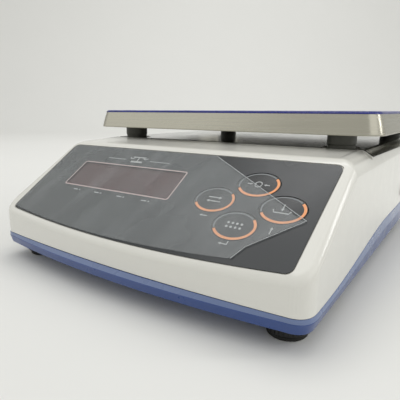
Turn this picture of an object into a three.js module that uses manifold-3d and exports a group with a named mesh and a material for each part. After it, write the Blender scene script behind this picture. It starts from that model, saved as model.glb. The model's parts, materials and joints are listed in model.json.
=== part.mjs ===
// Counting scale: a low weighing machine with a steel pan over a sloped keypad console.
// Millimetres, +Z up. The origin is on the bench, under the middle of the whole machine.
// The operator stands on the -Y side and reads the console, and +X is on the right.

import * as THREE from 'three';
import { mergeVertices } from 'three/addons/utils/BufferGeometryUtils.js';
import Module from 'manifold-3d';

const wasm = await Module();
wasm.setup();

// ---------------------------------------------------------------- driving dimensions

// Clearances
const GAP = 0.3; // between pieces that touch
const KEY_GAP = 0.3; // round a key, inside its hole
const POST_GAP = 2.5; // round a pan post, where it comes through the platform

// Casing plan
const CASE_DEPTH = 308; // nose of the base to the back wall
const CASE_WIDTH = 241; // at the front corners
const CASE_TAPER = 8; // the back is this much narrower
const WALL = 2.5;
const FRONT_CORNER = 12;
const BACK_CORNER = 14;
const BASE_BOW = 7.2; // how far the middle of the base's front stands ahead of its corners
const TOP_BOW = 4.8; // the same for the top casing
const TOP_SETBACK = 2.9; // nose of the top casing behind the nose of the base
const TOP_TUCK = 0.6; // side of the top casing inside the side of the base

// Casing heights
const FOOT_DROP = 11.1; // bench to the underside of the base
const PART_LINE = 8.4; // underside of the base to the parting line, at the front
const PART_RISE = 11; // the parting line climbs this much towards the back
const PART_RISE_START = 31; // where the climb starts, behind the nose
const PART_RISE_RUN = 150;
const PLATFORM_HEIGHT = 73.9; // underside of the base to the platform
const RIDGE_LIFT = 0.6; // ridge over the platform
const RIDGE_BACK = 115.3; // nose to the back of the ridge
const GROOVE_WIDTH = 5;
const GROOVE_DEPTH = 5;
const SHOULDER_INSET = 10; // platform edge inside the casing's front half width
const SHOULDER_RUN = 8;
const SHOULDER_FALL = 7;

// Console
const CONSOLE_SLOPE = 33.7; // degrees
const BREAK_BACK = 77; // nose to the line where the slope meets the flat top
const STRIP_FALL = 2.3; // that line below the ridge
const PANEL_MARGIN = 4.6; // that line to the panel's top edge, down the slope
const PANEL_TOP_WIDTH = 225;
const PANEL_FOOT_WIDTH = 220.5;
const PANEL_LENGTH = 76; // down the slope, at the corners
const PANEL_BOW = 5.8; // the bottom edge runs down this much further in the middle
const PANEL_CORNER = 5;
const PANEL_THICK = 0.5;
const PANEL_RECESS = 0.9;
const WINDOW_WIDTH = 100;
const WINDOW_HEIGHT = 26.7;
const WINDOW_X = -31.8;
const WINDOW_DOWN = 31.6; // panel's top edge to the window's middle
const WINDOW_LAP = 1; // the panel covers this much of the window's edge
const WINDOW_THICK = 1.5;

// Keys
const COVER_MARGIN = 2; // clear film inside the panel's edge
const COVER_TOP_END = 62; // window's middle to where the film's top edge ends
const COVER_TIP = [35.87, -5.62]; // key diamond's middle to the film's right tip
const COVER_NOTCH = [12.66, -28.09]; // and to the notch below it
const COVER_FOOT_END = 8.44;

const KEY_LONG = 26.4;
const KEY_SHORT = 19.8;
const KEY_HEIGHT = 3.2;
const KEY_PROUD = 0.1; // over the casing's slope
const KEY_TRAVEL = 0.6;
const KEY_X = 70.2; // middle of the key diamond
const KEY_DOWN = 38.3;
const KEY_SPREAD_X = 21.1;
const KEY_SPREAD_Y = 16.05;

// Circuit boards and display
const BOARD_THICK = 1.6;
const BOARD_DEPTH = 8.4; // console face to the display board's face
const BOARD_WIDTH = 203;
const BOARD_TOP_DOWN = 12;
const BOARD_LENGTH = 62;
const DIGITS_WIDTH = 46;
const DIGITS_HEIGHT = 22;
const DIGITS_BACK_GAP = 0.4; // display modules below the window
const SWITCH_SIZE = 6;
const SWITCH_BODY = 3.2;
const PLUNGER_RADIUS = 1.7;
const PLUNGER_SLACK = 0.3; // between a pressed key and its switch
const MAIN_BOARD_WIDTH = 62;
const MAIN_BOARD_LENGTH = 92;
const MAIN_BOARD_X = -72;
const MAIN_BOARD_LIFT = 7;
const MAIN_BOARD_FORWARD = 10; // its middle ahead of the pan's middle
const CHIP_HEIGHT = 3;
const HEADER_HEIGHT = 8;
const CAPACITOR_RADIUS = 6;
const CAPACITOR_HEIGHT = 14;
const SINK_HEIGHT = 16;
const BOARD_LEG_RADIUS = 2.5;
const BOARD_LEG_INSET = 5;

// Pan
const PAN_WIDTH = 245;
const PAN_DEPTH = 208;
const PAN_OVERHANG = 5; // past the casing's back wall
const PAN_SKIRT = 14.5;
const PAN_FLARE = 3.2; // the skirt's foot stands out past its top
const PAN_SHEET = 1;
const PAN_CORNER = 13;
const PAN_CLEAR = 9.5; // platform to the skirt's foot
const FILM_THICK = 0.2;
const FILM_INSET = 4;

// Pan support
const POST_RADIUS = 9.5;
const POST_INSET_X = 28.7; // from the pan's side to a post's middle
const POST_INSET_Y = 22.3;
const PAD_HEIGHT = 4;
const PAD_RADIUS = 8;
const SPIDER_THICK = 12;
const SPIDER_ARM = 15;
const SPIDER_HUB_WIDTH = 44;
const SPIDER_HUB_LENGTH = 92;
const CELL_LENGTH = 130;
const CELL_WIDTH = 30;
const CELL_HEIGHT = 22;
const CELL_SPACER = 12;
const CELL_SPACER_LENGTH = 38;
const CELL_BORE = 8.2;
const CELL_BORE_SPREAD = 26;
const PLATE_THICK = 3;
const PLATE_WIDTH = 52;
const PLATE_LENGTH = 190;
const STOP_RADIUS = 3;
const STOP_GAP = 0.8; // overload stop to the spider arm
const STOP_ALONG = 0.36; // share of the way along a spider arm
const STOP_TONGUE = 14; // width of the plate's tongue under a stop

// Feet, screws, power
const FOOT_RADIUS = 12.5;
const FOOT_PAD_RADIUS = 10.5;
const FOOT_PAD_HEIGHT = 2.3;
const FOOT_INSET_X = 18; // from the casing's side
const FOOT_FRONT = 28.9; // from the nose
const FOOT_BACK = 53.5; // from the back wall
const STUD_RADIUS = 4;
const STUD_LENGTH = 13;
const BOSS_WALL = 2.2;
const BOSS_TOP = 13; // underside of the base to the top of a foot boss
const SCREW_RADIUS = 1.7;
const SCREW_LENGTH = 21;
const SCREW_HEAD_RADIUS = 3.4;
const SCREW_HEAD_HEIGHT = 2.4;
const PILLAR_RADIUS = 4.5;
const PILLAR_INSET_X = 12;
const PILLAR_FRONT = 50;
const PILLAR_BACK = 35.5;
const SCREW_BOSS_TOP = 9;
const BATTERY_WIDTH = 47;
const BATTERY_LENGTH = 101;
const BATTERY_HEIGHT = 47;
const BATTERY_CLEAR = 4.73; // base plate's tongue to the battery
const BATTERY_TAB_SPREAD = 28;
const BATTERY_TAB_WIDTH = 4.8;
const BATTERY_TAB_HEIGHT = 38; // over the battery's underside
const BATTERY_TAB_THICK = 0.8;
const BATTERY_TAB_LONG = 6;
const BATTERY_BACK = 131.5; // back wall to the battery's middle
const DOOR_MARGIN = 4;
const DOOR_GAP = 0.5;
const STRAP_WIDTH = 18;
const STRAP_THICK = 1.2;
const STRAP_EAR = 12;
const STRAP_BACK = 30; // battery's middle to the strap's middle
const ROCKER_LENGTH = 15;
const ROCKER_WIDTH = 10;
const ROCKER_PROUD = 2.2;
const ROCKER_TILT = 8; // degrees each side of level
const ROCKER_BODY = 12;
const ROCKER_TOP = 4; // rocker's top over its pin
const ROCKER_PIN_HEIGHT = 2; // pin over the underside of the base
const ROCKER_PIN_RADIUS = 0.8;
const ROCKER_SWING = 0.9; // room at each end for the swing
const FRAME_WALL = 1.2;
const FRAME_LIP = 2.2;
const FRAME_LIP_THICK = 0.8;
const ROCKER_INSET_X = 11;
const ROCKER_FRONT = 71.5;
const SOCKET_RADIUS = 5.6;
const SOCKET_BORE = 3.2;
const SOCKET_DEPTH = 12;
const SOCKET_BACK = 62;
const SOCKET_HEIGHT = 41;
const LEVEL_RADIUS = 7;
const LEVEL_HEIGHT = 6;
const LEVEL_PROUD = 0.8;
const LEVEL_INBOARD = 23.8; // back left post's middle to the level's middle
const LEVEL_BACK = 17;
const CABLE_RADIUS = 2;
const LABEL_WIDTH = 64;
const LABEL_LENGTH = 40;
const LABEL_THICK = 0.3;

// ---------------------------------------------------------------- derived places

const overallDepth = CASE_DEPTH + PAN_OVERHANG;
const noseY = -overallDepth / 2;
const backY = noseY + CASE_DEPTH;
const halfFront = CASE_WIDTH / 2;
const halfBack = halfFront - CASE_TAPER / 2;
const baseZ = FOOT_DROP;
const floorZ = baseZ + WALL;
const platformZ = baseZ + PLATFORM_HEIGHT;
const ridgeZ = platformZ + RIDGE_LIFT;
const ridgeY = noseY + RIDGE_BACK;
const breakY = noseY + BREAK_BACK;
const breakZ = ridgeZ - STRIP_FALL;
const slope = THREE.MathUtils.degToRad(CONSOLE_SLOPE);
const panelY = breakY - PANEL_MARGIN * Math.cos(slope);
const panelZ = breakZ - PANEL_MARGIN * Math.sin(slope);
const panFootZ = platformZ + PAN_CLEAR;
const panTopZ = panFootZ + PAN_SKIRT;
const panBackY = backY + PAN_OVERHANG;
const panFrontY = panBackY - PAN_DEPTH;
const panY = (panBackY + panFrontY) / 2;
const postX = PAN_WIDTH / 2 - POST_INSET_X;
const postY = PAN_DEPTH / 2 - POST_INSET_Y;
const postTopZ = panTopZ - PAN_SHEET - GAP;
const plateZ = floorZ + GAP;
const lowSpacerZ = plateZ + PLATE_THICK + GAP;
const cellZ = lowSpacerZ + CELL_SPACER + GAP;
const highSpacerZ = cellZ + CELL_HEIGHT + GAP;
const spiderZ = highSpacerZ + CELL_SPACER + GAP;
const spiderTopZ = spiderZ + SPIDER_THICK;
const stopReach = postX * STOP_ALONG + 2 * STOP_RADIUS;
const strapReach = GAP + STRAP_THICK + STRAP_EAR; // battery's side to the tip of a strap ear
const batteryX = BATTERY_WIDTH / 2 + Math.max(stopReach + BATTERY_CLEAR, PLATE_WIDTH / 2 + strapReach + GAP);
const batteryY = backY - BATTERY_BACK;
const levelX = LEVEL_INBOARD - postX;
const mainBoardY = panY - MAIN_BOARD_FORWARD;
const consoleMatrix = new THREE.Matrix4()
  .makeRotationX(slope)
  .setPosition(0, panelY, panelZ);
const keyPlaces = {
  zero: [KEY_X, -KEY_DOWN + KEY_SPREAD_Y],
  unit: [KEY_X - KEY_SPREAD_X, -KEY_DOWN],
  tare: [KEY_X + KEY_SPREAD_X, -KEY_DOWN],
  count: [KEY_X, -KEY_DOWN - KEY_SPREAD_Y],
};
const corners = {
  front_left: [-1, -1],
  front_right: [1, -1],
  back_left: [-1, 1],
  back_right: [1, 1],
};

// Half width of the base at a distance along Y.
function halfWidthAt(y) {
  const along = (y - noseY) / CASE_DEPTH;
  return halfFront - (CASE_TAPER / 2) * along;
}

// ---------------------------------------------------------------- solids and shapes

function solid(geometry) {
  const bare = geometry.index ? geometry.toNonIndexed() : geometry.clone();
  bare.deleteAttribute('normal');
  bare.deleteAttribute('uv');
  const merged = mergeVertices(bare, 1e-4);
  return new wasm.Manifold(new wasm.Mesh({
    numProp: 3,
    vertProperties: new Float32Array(merged.attributes.position.array),
    triVerts: new Uint32Array(merged.index.array),
  }));
}

function join(first, ...others) {
  return others.reduce((whole, other) => whole.add(other), first);
}

function cut(first, ...others) {
  return others.reduce((whole, other) => whole.subtract(other), first);
}

function toGeometry(body) {
  const mesh = body.getMesh();
  const geometry = new THREE.BufferGeometry();
  geometry.setAttribute('position', new THREE.BufferAttribute(new Float32Array(mesh.vertProperties), 3));
  geometry.setIndex(new THREE.BufferAttribute(new Uint32Array(mesh.triVerts), 1));
  geometry.computeVertexNormals();
  return geometry;
}

function block(x0, x1, y0, y1, z0, z1) {
  const geometry = new THREE.BoxGeometry(x1 - x0, y1 - y0, z1 - z0);
  return geometry.translate((x0 + x1) / 2, (y0 + y1) / 2, (z0 + z1) / 2);
}

// An upright round bar.
function bar(radius, x, y, z0, z1, sides = 24) {
  const geometry = new THREE.CylinderGeometry(radius, radius, z1 - z0, sides);
  return geometry.rotateX(Math.PI / 2).translate(x, y, (z0 + z1) / 2);
}

function slab(shape, z0, z1, curveSegments = 6) {
  const geometry = new THREE.ExtrudeGeometry(shape, { depth: z1 - z0, bevelEnabled: false, curveSegments });
  return geometry.translate(0, 0, z0);
}

// A prism across the machine, from an outline of [y, z] points.
function prismAcross(points, x0, x1) {
  const shape = new THREE.Shape(points.map(([y, z]) => new THREE.Vector2(y, z)));
  const geometry = new THREE.ExtrudeGeometry(shape, { depth: x1 - x0, bevelEnabled: false });
  const turn = new THREE.Matrix4().makeBasis(
    new THREE.Vector3(0, 1, 0),
    new THREE.Vector3(0, 0, 1),
    new THREE.Vector3(1, 0, 0),
  );
  return geometry.applyMatrix4(turn).translate(x0, 0, 0);
}

// A prism from front to back, from an outline of [x, z] points.
function prismAlong(points, y0, y1) {
  const shape = new THREE.Shape(points.map(([x, z]) => new THREE.Vector2(x, z)));
  const geometry = new THREE.ExtrudeGeometry(shape, { depth: y1 - y0, bevelEnabled: false });
  const turn = new THREE.Matrix4().makeBasis(
    new THREE.Vector3(1, 0, 0),
    new THREE.Vector3(0, 0, 1),
    new THREE.Vector3(0, -1, 0),
  );
  return geometry.applyMatrix4(turn).translate(0, y1, 0);
}

function roundedRect(x0, x1, y0, y1, radius) {
  const shape = new THREE.Shape();
  shape.moveTo(x0 + radius, y0);
  shape.lineTo(x1 - radius, y0);
  shape.absarc(x1 - radius, y0 + radius, radius, -Math.PI / 2, 0);
  shape.lineTo(x1, y1 - radius);
  shape.absarc(x1 - radius, y1 - radius, radius, 0, Math.PI / 2);
  shape.lineTo(x0 + radius, y1);
  shape.absarc(x0 + radius, y1 - radius, radius, Math.PI / 2, Math.PI);
  shape.lineTo(x0, y0 + radius);
  shape.absarc(x0 + radius, y0 + radius, radius, Math.PI, Math.PI * 1.5);
  return shape;
}

// A key or the hole for one: an oval block, grown by a clearance.
function ovalBlock([x, y], grow, z0, z1) {
  const shape = new THREE.Shape();
  shape.absellipse(x, y, KEY_LONG / 2 + grow, KEY_SHORT / 2 + grow, 0, Math.PI * 2);
  return slab(shape, z0, z1, 12);
}

// ---------------------------------------------------------------- casing

// The casing seen from above: a bowed front, sides that taper to the back, round corners.
function casingOutline(bow, setback, tuck) {
  const nose = noseY + setback;
  const corner = nose + bow;
  const front = halfFront - tuck;
  const back = halfBack - tuck;
  const wall = backY - tuck;
  const round = Math.max(FRONT_CORNER - tuck, 1);
  const roundBack = Math.max(BACK_CORNER - tuck, 1);
  const shape = new THREE.Shape();
  shape.moveTo(-front + round, corner);
  shape.quadraticCurveTo(0, 2 * nose - corner, front - round, corner);
  shape.quadraticCurveTo(front, corner, front, corner + round);
  shape.lineTo(back, wall - roundBack);
  shape.quadraticCurveTo(back, wall, back - roundBack, wall);
  shape.lineTo(-back + roundBack, wall);
  shape.quadraticCurveTo(-back, wall, -back, wall - roundBack);
  shape.lineTo(-front, corner + round);
  shape.quadraticCurveTo(-front, corner, -front + round, corner);
  return shape;
}

// Height of the parting line over the bench. It climbs smoothly from the front to the back.
function partingHeight(y) {
  const along = THREE.MathUtils.smoothstep(y, noseY + PART_RISE_START, noseY + PART_RISE_START + PART_RISE_RUN);
  return baseZ + PART_LINE + PART_RISE * along;
}

function partingPoints(lift) {
  const count = 12;
  const points = [[noseY - WALL, partingHeight(noseY) + lift]];
  for (let i = 0; i <= count; i += 1) {
    const y = noseY + PART_RISE_START + (PART_RISE_RUN * i) / count;
    points.push([y, partingHeight(y) + lift]);
  }
  points.push([backY + WALL, partingHeight(backY) + lift]);
  return points;
}

// The top casing's side view, sunk by a skin thickness, down to a given underside.
function casingProfile(skin, underside) {
  const slopeSkin = skin / Math.cos(slope);
  const frontY = noseY - WALL;
  const frontZ = breakZ - (breakY - frontY) * Math.tan(slope);
  const groove = ridgeY + GROOVE_WIDTH;
  const grooveZ = platformZ - GROOVE_DEPTH;
  return [
    ...underside,
    [backY + WALL, platformZ - skin],
    [groove + skin, platformZ - skin],
    [groove + skin, grooveZ - skin],
    [ridgeY - skin, grooveZ - skin],
    [ridgeY - skin, ridgeZ - skin],
    [breakY, breakZ - slopeSkin],
    [frontY, frontZ - slopeSkin],
  ];
}

// The casing's end view above the parting line: upright sides with a sloping shoulder.
function shoulderProfile(skin) {
  const top = halfFront - SHOULDER_INSET - skin / 2;
  const ramp = SHOULDER_FALL / SHOULDER_RUN;
  const reach = 2 * SHOULDER_RUN;
  const highZ = platformZ - skin + reach * ramp;
  const lowZ = platformZ - skin - reach * ramp;
  return [
    [-top - reach, 0],
    [top + reach, 0],
    [top + reach, lowZ],
    [top - reach, highZ],
    [-top + reach, highZ],
    [-top - reach, lowZ],
  ];
}

function pillarPlaces() {
  return Object.values(corners).map(([sideX, sideY]) => {
    const y = sideY < 0 ? noseY + PILLAR_FRONT : backY - PILLAR_BACK;
    return [sideX * (halfWidthAt(y) - PILLAR_INSET_X), y];
  });
}

function footPlace(sideX, sideY) {
  const y = sideY < 0 ? noseY + FOOT_FRONT : backY - FOOT_BACK;
  return [sideX * (halfWidthAt(y) - FOOT_INSET_X), y];
}

function postPlaces() {
  return Object.values(corners).map(([sideX, sideY]) => [sideX * postX, panY + sideY * postY]);
}

// The graphic panel's outline in console coordinates, with a bowed bottom edge.
function panelOutline(grow) {
  const top = PANEL_TOP_WIDTH / 2 + grow;
  const foot = PANEL_FOOT_WIDTH / 2 + grow;
  const low = -PANEL_LENGTH - grow;
  const high = grow;
  const lean = ((top - foot) * PANEL_CORNER) / PANEL_LENGTH;
  const shape = new THREE.Shape();
  shape.moveTo(-foot + PANEL_CORNER, low);
  shape.quadraticCurveTo(0, low - 2 * PANEL_BOW, foot - PANEL_CORNER, low);
  shape.quadraticCurveTo(foot, low, foot + lean, low + PANEL_CORNER);
  shape.lineTo(top - lean, high - PANEL_CORNER);
  shape.quadraticCurveTo(top, high, top - PANEL_CORNER, high);
  shape.lineTo(-top + PANEL_CORNER, high);
  shape.quadraticCurveTo(-top, high, -top + lean, high - PANEL_CORNER);
  shape.lineTo(-foot - lean, low + PANEL_CORNER);
  shape.quadraticCurveTo(-foot, low, -foot + PANEL_CORNER, low);
  return shape;
}

function windowRect(grow) {
  const halfWide = WINDOW_WIDTH / 2 + grow;
  const halfHigh = WINDOW_HEIGHT / 2 + grow;
  return [WINDOW_X - halfWide, WINDOW_X + halfWide, -WINDOW_DOWN - halfHigh, -WINDOW_DOWN + halfHigh];
}

// Cutters through the console for the panel's recess, the window and the keys.
function consoleCutters() {
  const deep = -3 * WALL;
  const high = 3 * WALL;
  const keyHoles = Object.values(keyPlaces).map((spot) => ovalBlock(spot, KEY_GAP, deep, high));
  const cutters = [
    slab(panelOutline(GAP), -PANEL_RECESS, high),
    block(...windowRect(0), deep, high),
    ...keyHoles,
  ];
  return cutters.map((geometry) => solid(geometry.applyMatrix4(consoleMatrix)));
}

function boardPosts() {
  const x = BOARD_WIDTH / 2 - 4;
  const rows = [-BOARD_TOP_DOWN - 4, -BOARD_TOP_DOWN - BOARD_LENGTH + 4];
  return [-x, x].flatMap((place) => rows.map((row) => (
    solid(bar(2.5, place, row, -BOARD_DEPTH + GAP, -WALL + GAP, 12).applyMatrix4(consoleMatrix))
  )));
}

function topCasing() {
  const top = platformZ + 2 * RIDGE_LIFT;
  const side = halfFront + 2 * WALL;
  const outer = solid(slab(casingOutline(TOP_BOW, TOP_SETBACK, TOP_TUCK), 0, top + WALL))
    .intersect(solid(prismAcross(casingProfile(0, partingPoints(0)), -side, side)))
    .intersect(solid(prismAlong(shoulderProfile(0), noseY - WALL, backY + WALL)));
  const below = [[noseY - WALL, 0], [backY + WALL, 0]];
  const inner = solid(slab(casingOutline(TOP_BOW, TOP_SETBACK + WALL, TOP_TUCK + WALL), -WALL, top))
    .intersect(solid(prismAcross(casingProfile(WALL, below), -side, side)))
    .intersect(solid(prismAlong(shoulderProfile(WALL), noseY - WALL, backY + WALL)));
  const pillarFoot = baseZ + SCREW_BOSS_TOP + GAP;
  const pillars = pillarPlaces().map(([x, y]) => {
    const roof = y < panelY ? panelZ - (panelY - y) * Math.tan(slope) : platformZ;
    return solid(bar(PILLAR_RADIUS, x, y, pillarFoot, roof - WALL, 16));
  });
  const screwHoles = pillarPlaces().map(([x, y]) => (
    solid(bar(SCREW_RADIUS + GAP, x, y, 0, baseZ + SCREW_LENGTH + 2, 12))
  ));
  const postHoles = postPlaces().map(([x, y]) => (
    solid(bar(POST_RADIUS + POST_GAP, x, y, platformZ - GROOVE_DEPTH - 2 * WALL, top, 32))
  ));
  const levelHole = solid(bar(LEVEL_RADIUS + GAP, levelX, backY - LEVEL_BACK, platformZ - 2 * WALL, top, 24));
  const socketHole = solid(socketBar(SOCKET_RADIUS + GAP, 4 * WALL));
  const shell = join(cut(outer, inner), ...pillars, ...boardPosts());
  return cut(shell, ...consoleCutters(), ...screwHoles, ...postHoles, levelHole, socketHole);
}

// A bar across the right wall, at the charging socket.
function socketBar(radius, depth, sides = 20) {
  const y = backY - SOCKET_BACK;
  const wall = halfWidthAt(y);
  const geometry = new THREE.CylinderGeometry(radius, radius, depth, sides);
  return geometry.rotateZ(Math.PI / 2).translate(wall - depth / 2 + 1, y, SOCKET_HEIGHT);
}

function doorRect(grow) {
  const halfWide = BATTERY_WIDTH / 2 + DOOR_MARGIN + grow;
  const halfLong = BATTERY_LENGTH / 2 + DOOR_MARGIN + grow;
  return [batteryX - halfWide, batteryX + halfWide, batteryY - halfLong, batteryY + halfLong];
}

function rockerPlace() {
  const y = noseY + ROCKER_FRONT;
  return [halfWidthAt(y) - ROCKER_INSET_X, y];
}

function rockerRect(grow) {
  const [x, y] = rockerPlace();
  const halfWide = ROCKER_WIDTH / 2 + grow;
  const halfLong = ROCKER_LENGTH / 2 + grow;
  return [x - halfWide, x + halfWide, y - halfLong, y + halfLong];
}

function bottomCasing() {
  const side = halfFront + 2 * WALL;
  const profile = [...partingPoints(-GAP).reverse(), [noseY - WALL, baseZ], [backY + WALL, baseZ]];
  const outer = solid(slab(casingOutline(BASE_BOW, 0, 0), 0, platformZ))
    .intersect(solid(prismAcross(profile, -side, side)));
  const inner = solid(slab(casingOutline(BASE_BOW, WALL, WALL), floorZ, platformZ));
  const footSpots = Object.values(corners).map(([sideX, sideY]) => footPlace(sideX, sideY));
  const footBosses = footSpots.map(([x, y]) => (
    solid(bar(STUD_RADIUS + GAP + BOSS_WALL, x, y, baseZ + WALL / 2, baseZ + BOSS_TOP, 20))
  ));
  const footBores = footSpots.map(([x, y]) => solid(bar(STUD_RADIUS + GAP, x, y, 0, platformZ, 20)));
  const screwBosses = pillarPlaces().map(([x, y]) => (
    solid(bar(SCREW_HEAD_RADIUS + BOSS_WALL, x, y, baseZ + WALL / 2, baseZ + SCREW_BOSS_TOP, 20))
  ));
  const headHoles = pillarPlaces().map(([x, y]) => (
    solid(bar(SCREW_HEAD_RADIUS + GAP, x, y, 0, baseZ + SCREW_HEAD_HEIGHT + 2 * GAP, 20))
  ));
  const shankHoles = pillarPlaces().map(([x, y]) => solid(bar(SCREW_RADIUS + GAP, x, y, 0, platformZ, 12)));
  const door = solid(block(...doorRect(DOOR_GAP), 0, baseZ + 2 * WALL));
  const rocker = solid(block(...rockerRect(2 * GAP), 0, baseZ + 2 * WALL));
  const shell = join(cut(outer, inner), ...footBosses, ...screwBosses);
  return cut(shell, ...footBores, ...headHoles, ...shankHoles, door, rocker);
}

// ---------------------------------------------------------------- pan and its support

// A shallow inverted tray: the bevel of the extrusion makes the flared skirt.
function trayBody(inset, footZ, topZ) {
  const shrink = PAN_FLARE + inset;
  const outline = roundedRect(
    -PAN_WIDTH / 2 + shrink,
    PAN_WIDTH / 2 - shrink,
    panFrontY + shrink,
    panBackY - shrink,
    PAN_CORNER - inset,
  );
  const geometry = new THREE.ExtrudeGeometry(outline, {
    depth: 1,
    bevelThickness: topZ - footZ,
    bevelSize: PAN_FLARE,
    bevelSegments: 1,
    curveSegments: 6,
  }).translate(0, 0, footZ - 1);
  const lower = block(-PAN_WIDTH, PAN_WIDTH, panFrontY - WALL, panBackY + WALL, footZ - 2 * PAN_SKIRT, footZ);
  return cut(solid(geometry), solid(lower));
}

function pan() {
  const inner = trayBody(PAN_SHEET, panFootZ - 2 * PAN_SHEET, panTopZ - PAN_SHEET);
  return cut(trayBody(0, panFootZ, panTopZ), inner);
}

function panFilm() {
  const inset = PAN_FLARE + FILM_INSET;
  const outline = roundedRect(
    -PAN_WIDTH / 2 + inset,
    PAN_WIDTH / 2 - inset,
    panFrontY + inset,
    panBackY - inset,
    PAN_CORNER - FILM_INSET / 2,
  );
  return solid(slab(outline, panTopZ + GAP, panTopZ + GAP + FILM_THICK));
}

function panPost(x, y) {
  return solid(bar(POST_RADIUS, x, y, spiderTopZ + GAP, postTopZ - PAD_HEIGHT - GAP, 24));
}

function panPad(x, y) {
  return solid(bar(PAD_RADIUS, x, y, postTopZ - PAD_HEIGHT, postTopZ, 20));
}

// A cast cross: a long hub over the load cell and one arm to each post.
function spider() {
  const hub = solid(block(
    -SPIDER_HUB_WIDTH / 2,
    SPIDER_HUB_WIDTH / 2,
    panY - SPIDER_HUB_LENGTH / 2,
    panY + SPIDER_HUB_LENGTH / 2,
    spiderZ,
    spiderTopZ,
  ));
  const arms = postPlaces().map(([x, y]) => {
    const reach = Math.hypot(x, y - panY);
    const turn = Math.atan2(y - panY, x);
    const arm = block(0, reach, -SPIDER_ARM / 2, SPIDER_ARM / 2, spiderZ, spiderTopZ);
    return solid(arm.rotateZ(turn).translate(0, panY, 0));
  });
  const ends = postPlaces().map(([x, y]) => solid(bar(POST_RADIUS + 1.5, x, y, spiderZ, spiderTopZ, 24)));
  return join(hub, ...arms, ...ends);
}

// An aluminium beam with two joined bores, which make its bending section.
function loadCell() {
  const halfLong = CELL_LENGTH / 2;
  const halfWide = CELL_WIDTH / 2;
  const top = cellZ + CELL_HEIGHT;
  const beam = solid(block(-halfWide, halfWide, panY - halfLong, panY + halfLong, cellZ, top));
  const midZ = cellZ + CELL_HEIGHT / 2;
  const bores = [-1, 1].map((side) => {
    const bore = new THREE.CylinderGeometry(CELL_BORE, CELL_BORE, 2 * CELL_WIDTH, 24);
    return solid(bore.rotateZ(Math.PI / 2).translate(0, panY + (side * CELL_BORE_SPREAD) / 2, midZ));
  });
  const slotHalf = CELL_BORE_SPREAD / 2;
  const slot = solid(block(-CELL_WIDTH, CELL_WIDTH, panY - slotHalf, panY + slotHalf, midZ - 3, midZ + 3));
  return cut(beam, ...bores, slot);
}

// A spacer under (side -1) or over (side 1) one end of the load cell.
function cellSpacer(side) {
  const end = panY + (side * CELL_LENGTH) / 2;
  const inner = end - side * CELL_SPACER_LENGTH;
  const low = side < 0 ? lowSpacerZ : highSpacerZ;
  const halfWide = CELL_WIDTH / 2;
  const [front, back] = [Math.min(end, inner), Math.max(end, inner)];
  return solid(block(-halfWide, halfWide, front, back, low, low + CELL_SPACER));
}

function basePlate() {
  const halfLong = PLATE_LENGTH / 2;
  const middle = panY - WALL;
  const halfWide = PLATE_WIDTH / 2;
  const top = plateZ + PLATE_THICK;
  const sheet = solid(block(-halfWide, halfWide, middle - halfLong, middle + halfLong, plateZ, top));
  const tongues = [-1, 1].map((side) => {
    const y = panY + side * postY * STOP_ALONG;
    const half = STOP_TONGUE / 2;
    return solid(block(-stopReach, stopReach, y - half, y + half, plateZ, plateZ + PLATE_THICK));
  });
  return join(sheet, ...tongues);
}

function stopScrew(x, y) {
  const shank = bar(STOP_RADIUS, x, y, plateZ + PLATE_THICK + GAP, spiderZ - STOP_GAP, 16);
  const nut = bar(STOP_RADIUS + 2, x, y, plateZ + PLATE_THICK + GAP, plateZ + PLATE_THICK + GAP + 4, 6);
  return join(solid(shank), solid(nut));
}

// ---------------------------------------------------------------- console pieces, in console coordinates

function panel() {
  const low = -PANEL_RECESS + GAP;
  const sheet = solid(slab(panelOutline(-GAP), low, low + PANEL_THICK));
  const pane = solid(block(...windowRect(-WINDOW_LAP), -WALL, WALL));
  const holes = Object.values(keyPlaces).map((spot) => solid(ovalBlock(spot, KEY_GAP, -WALL, WALL)));
  return cut(sheet, pane, ...holes);
}

function displayWindow() {
  const top = -PANEL_RECESS - GAP / 2;
  return solid(block(...windowRect(-GAP), top - WINDOW_THICK, top));
}

// Clear protective film, peeled back from the top right corner.
function panelFilm() {
  const left = COVER_MARGIN - PANEL_TOP_WIDTH / 2;
  const foot = COVER_MARGIN - PANEL_LENGTH;
  const top = -COVER_MARGIN / 2;
  const points = [
    [left, top],
    [WINDOW_X + COVER_TOP_END, top],
    [KEY_X + COVER_TIP[0], -KEY_DOWN + COVER_TIP[1]],
    [KEY_X + COVER_NOTCH[0], -KEY_DOWN + COVER_NOTCH[1]],
    [KEY_X + COVER_FOOT_END, foot + top],
    [left + COVER_MARGIN, foot],
  ];
  const shape = new THREE.Shape(points.map(([x, y]) => new THREE.Vector2(x, y)));
  return solid(slab(shape, KEY_PROUD + GAP, KEY_PROUD + GAP + FILM_THICK));
}

function keyCap(spot) {
  return solid(ovalBlock(spot, 0, KEY_PROUD - KEY_HEIGHT, KEY_PROUD));
}

// A push switch on the board: a square body and its round plunger.
function keySwitch(x, y) {
  const foot = -BOARD_DEPTH + GAP;
  const half = SWITCH_SIZE / 2;
  const head = KEY_PROUD - KEY_HEIGHT - KEY_TRAVEL - PLUNGER_SLACK;
  const body = solid(block(x - half, x + half, y - half, y + half, foot, foot + SWITCH_BODY));
  return join(body, solid(bar(PLUNGER_RADIUS, x, y, foot + SWITCH_BODY / 2, head, 16)));
}

function displayBoard() {
  const half = BOARD_WIDTH / 2;
  const low = -BOARD_TOP_DOWN - BOARD_LENGTH;
  return solid(block(-half, half, low, -BOARD_TOP_DOWN, -BOARD_DEPTH - BOARD_THICK, -BOARD_DEPTH));
}

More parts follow.
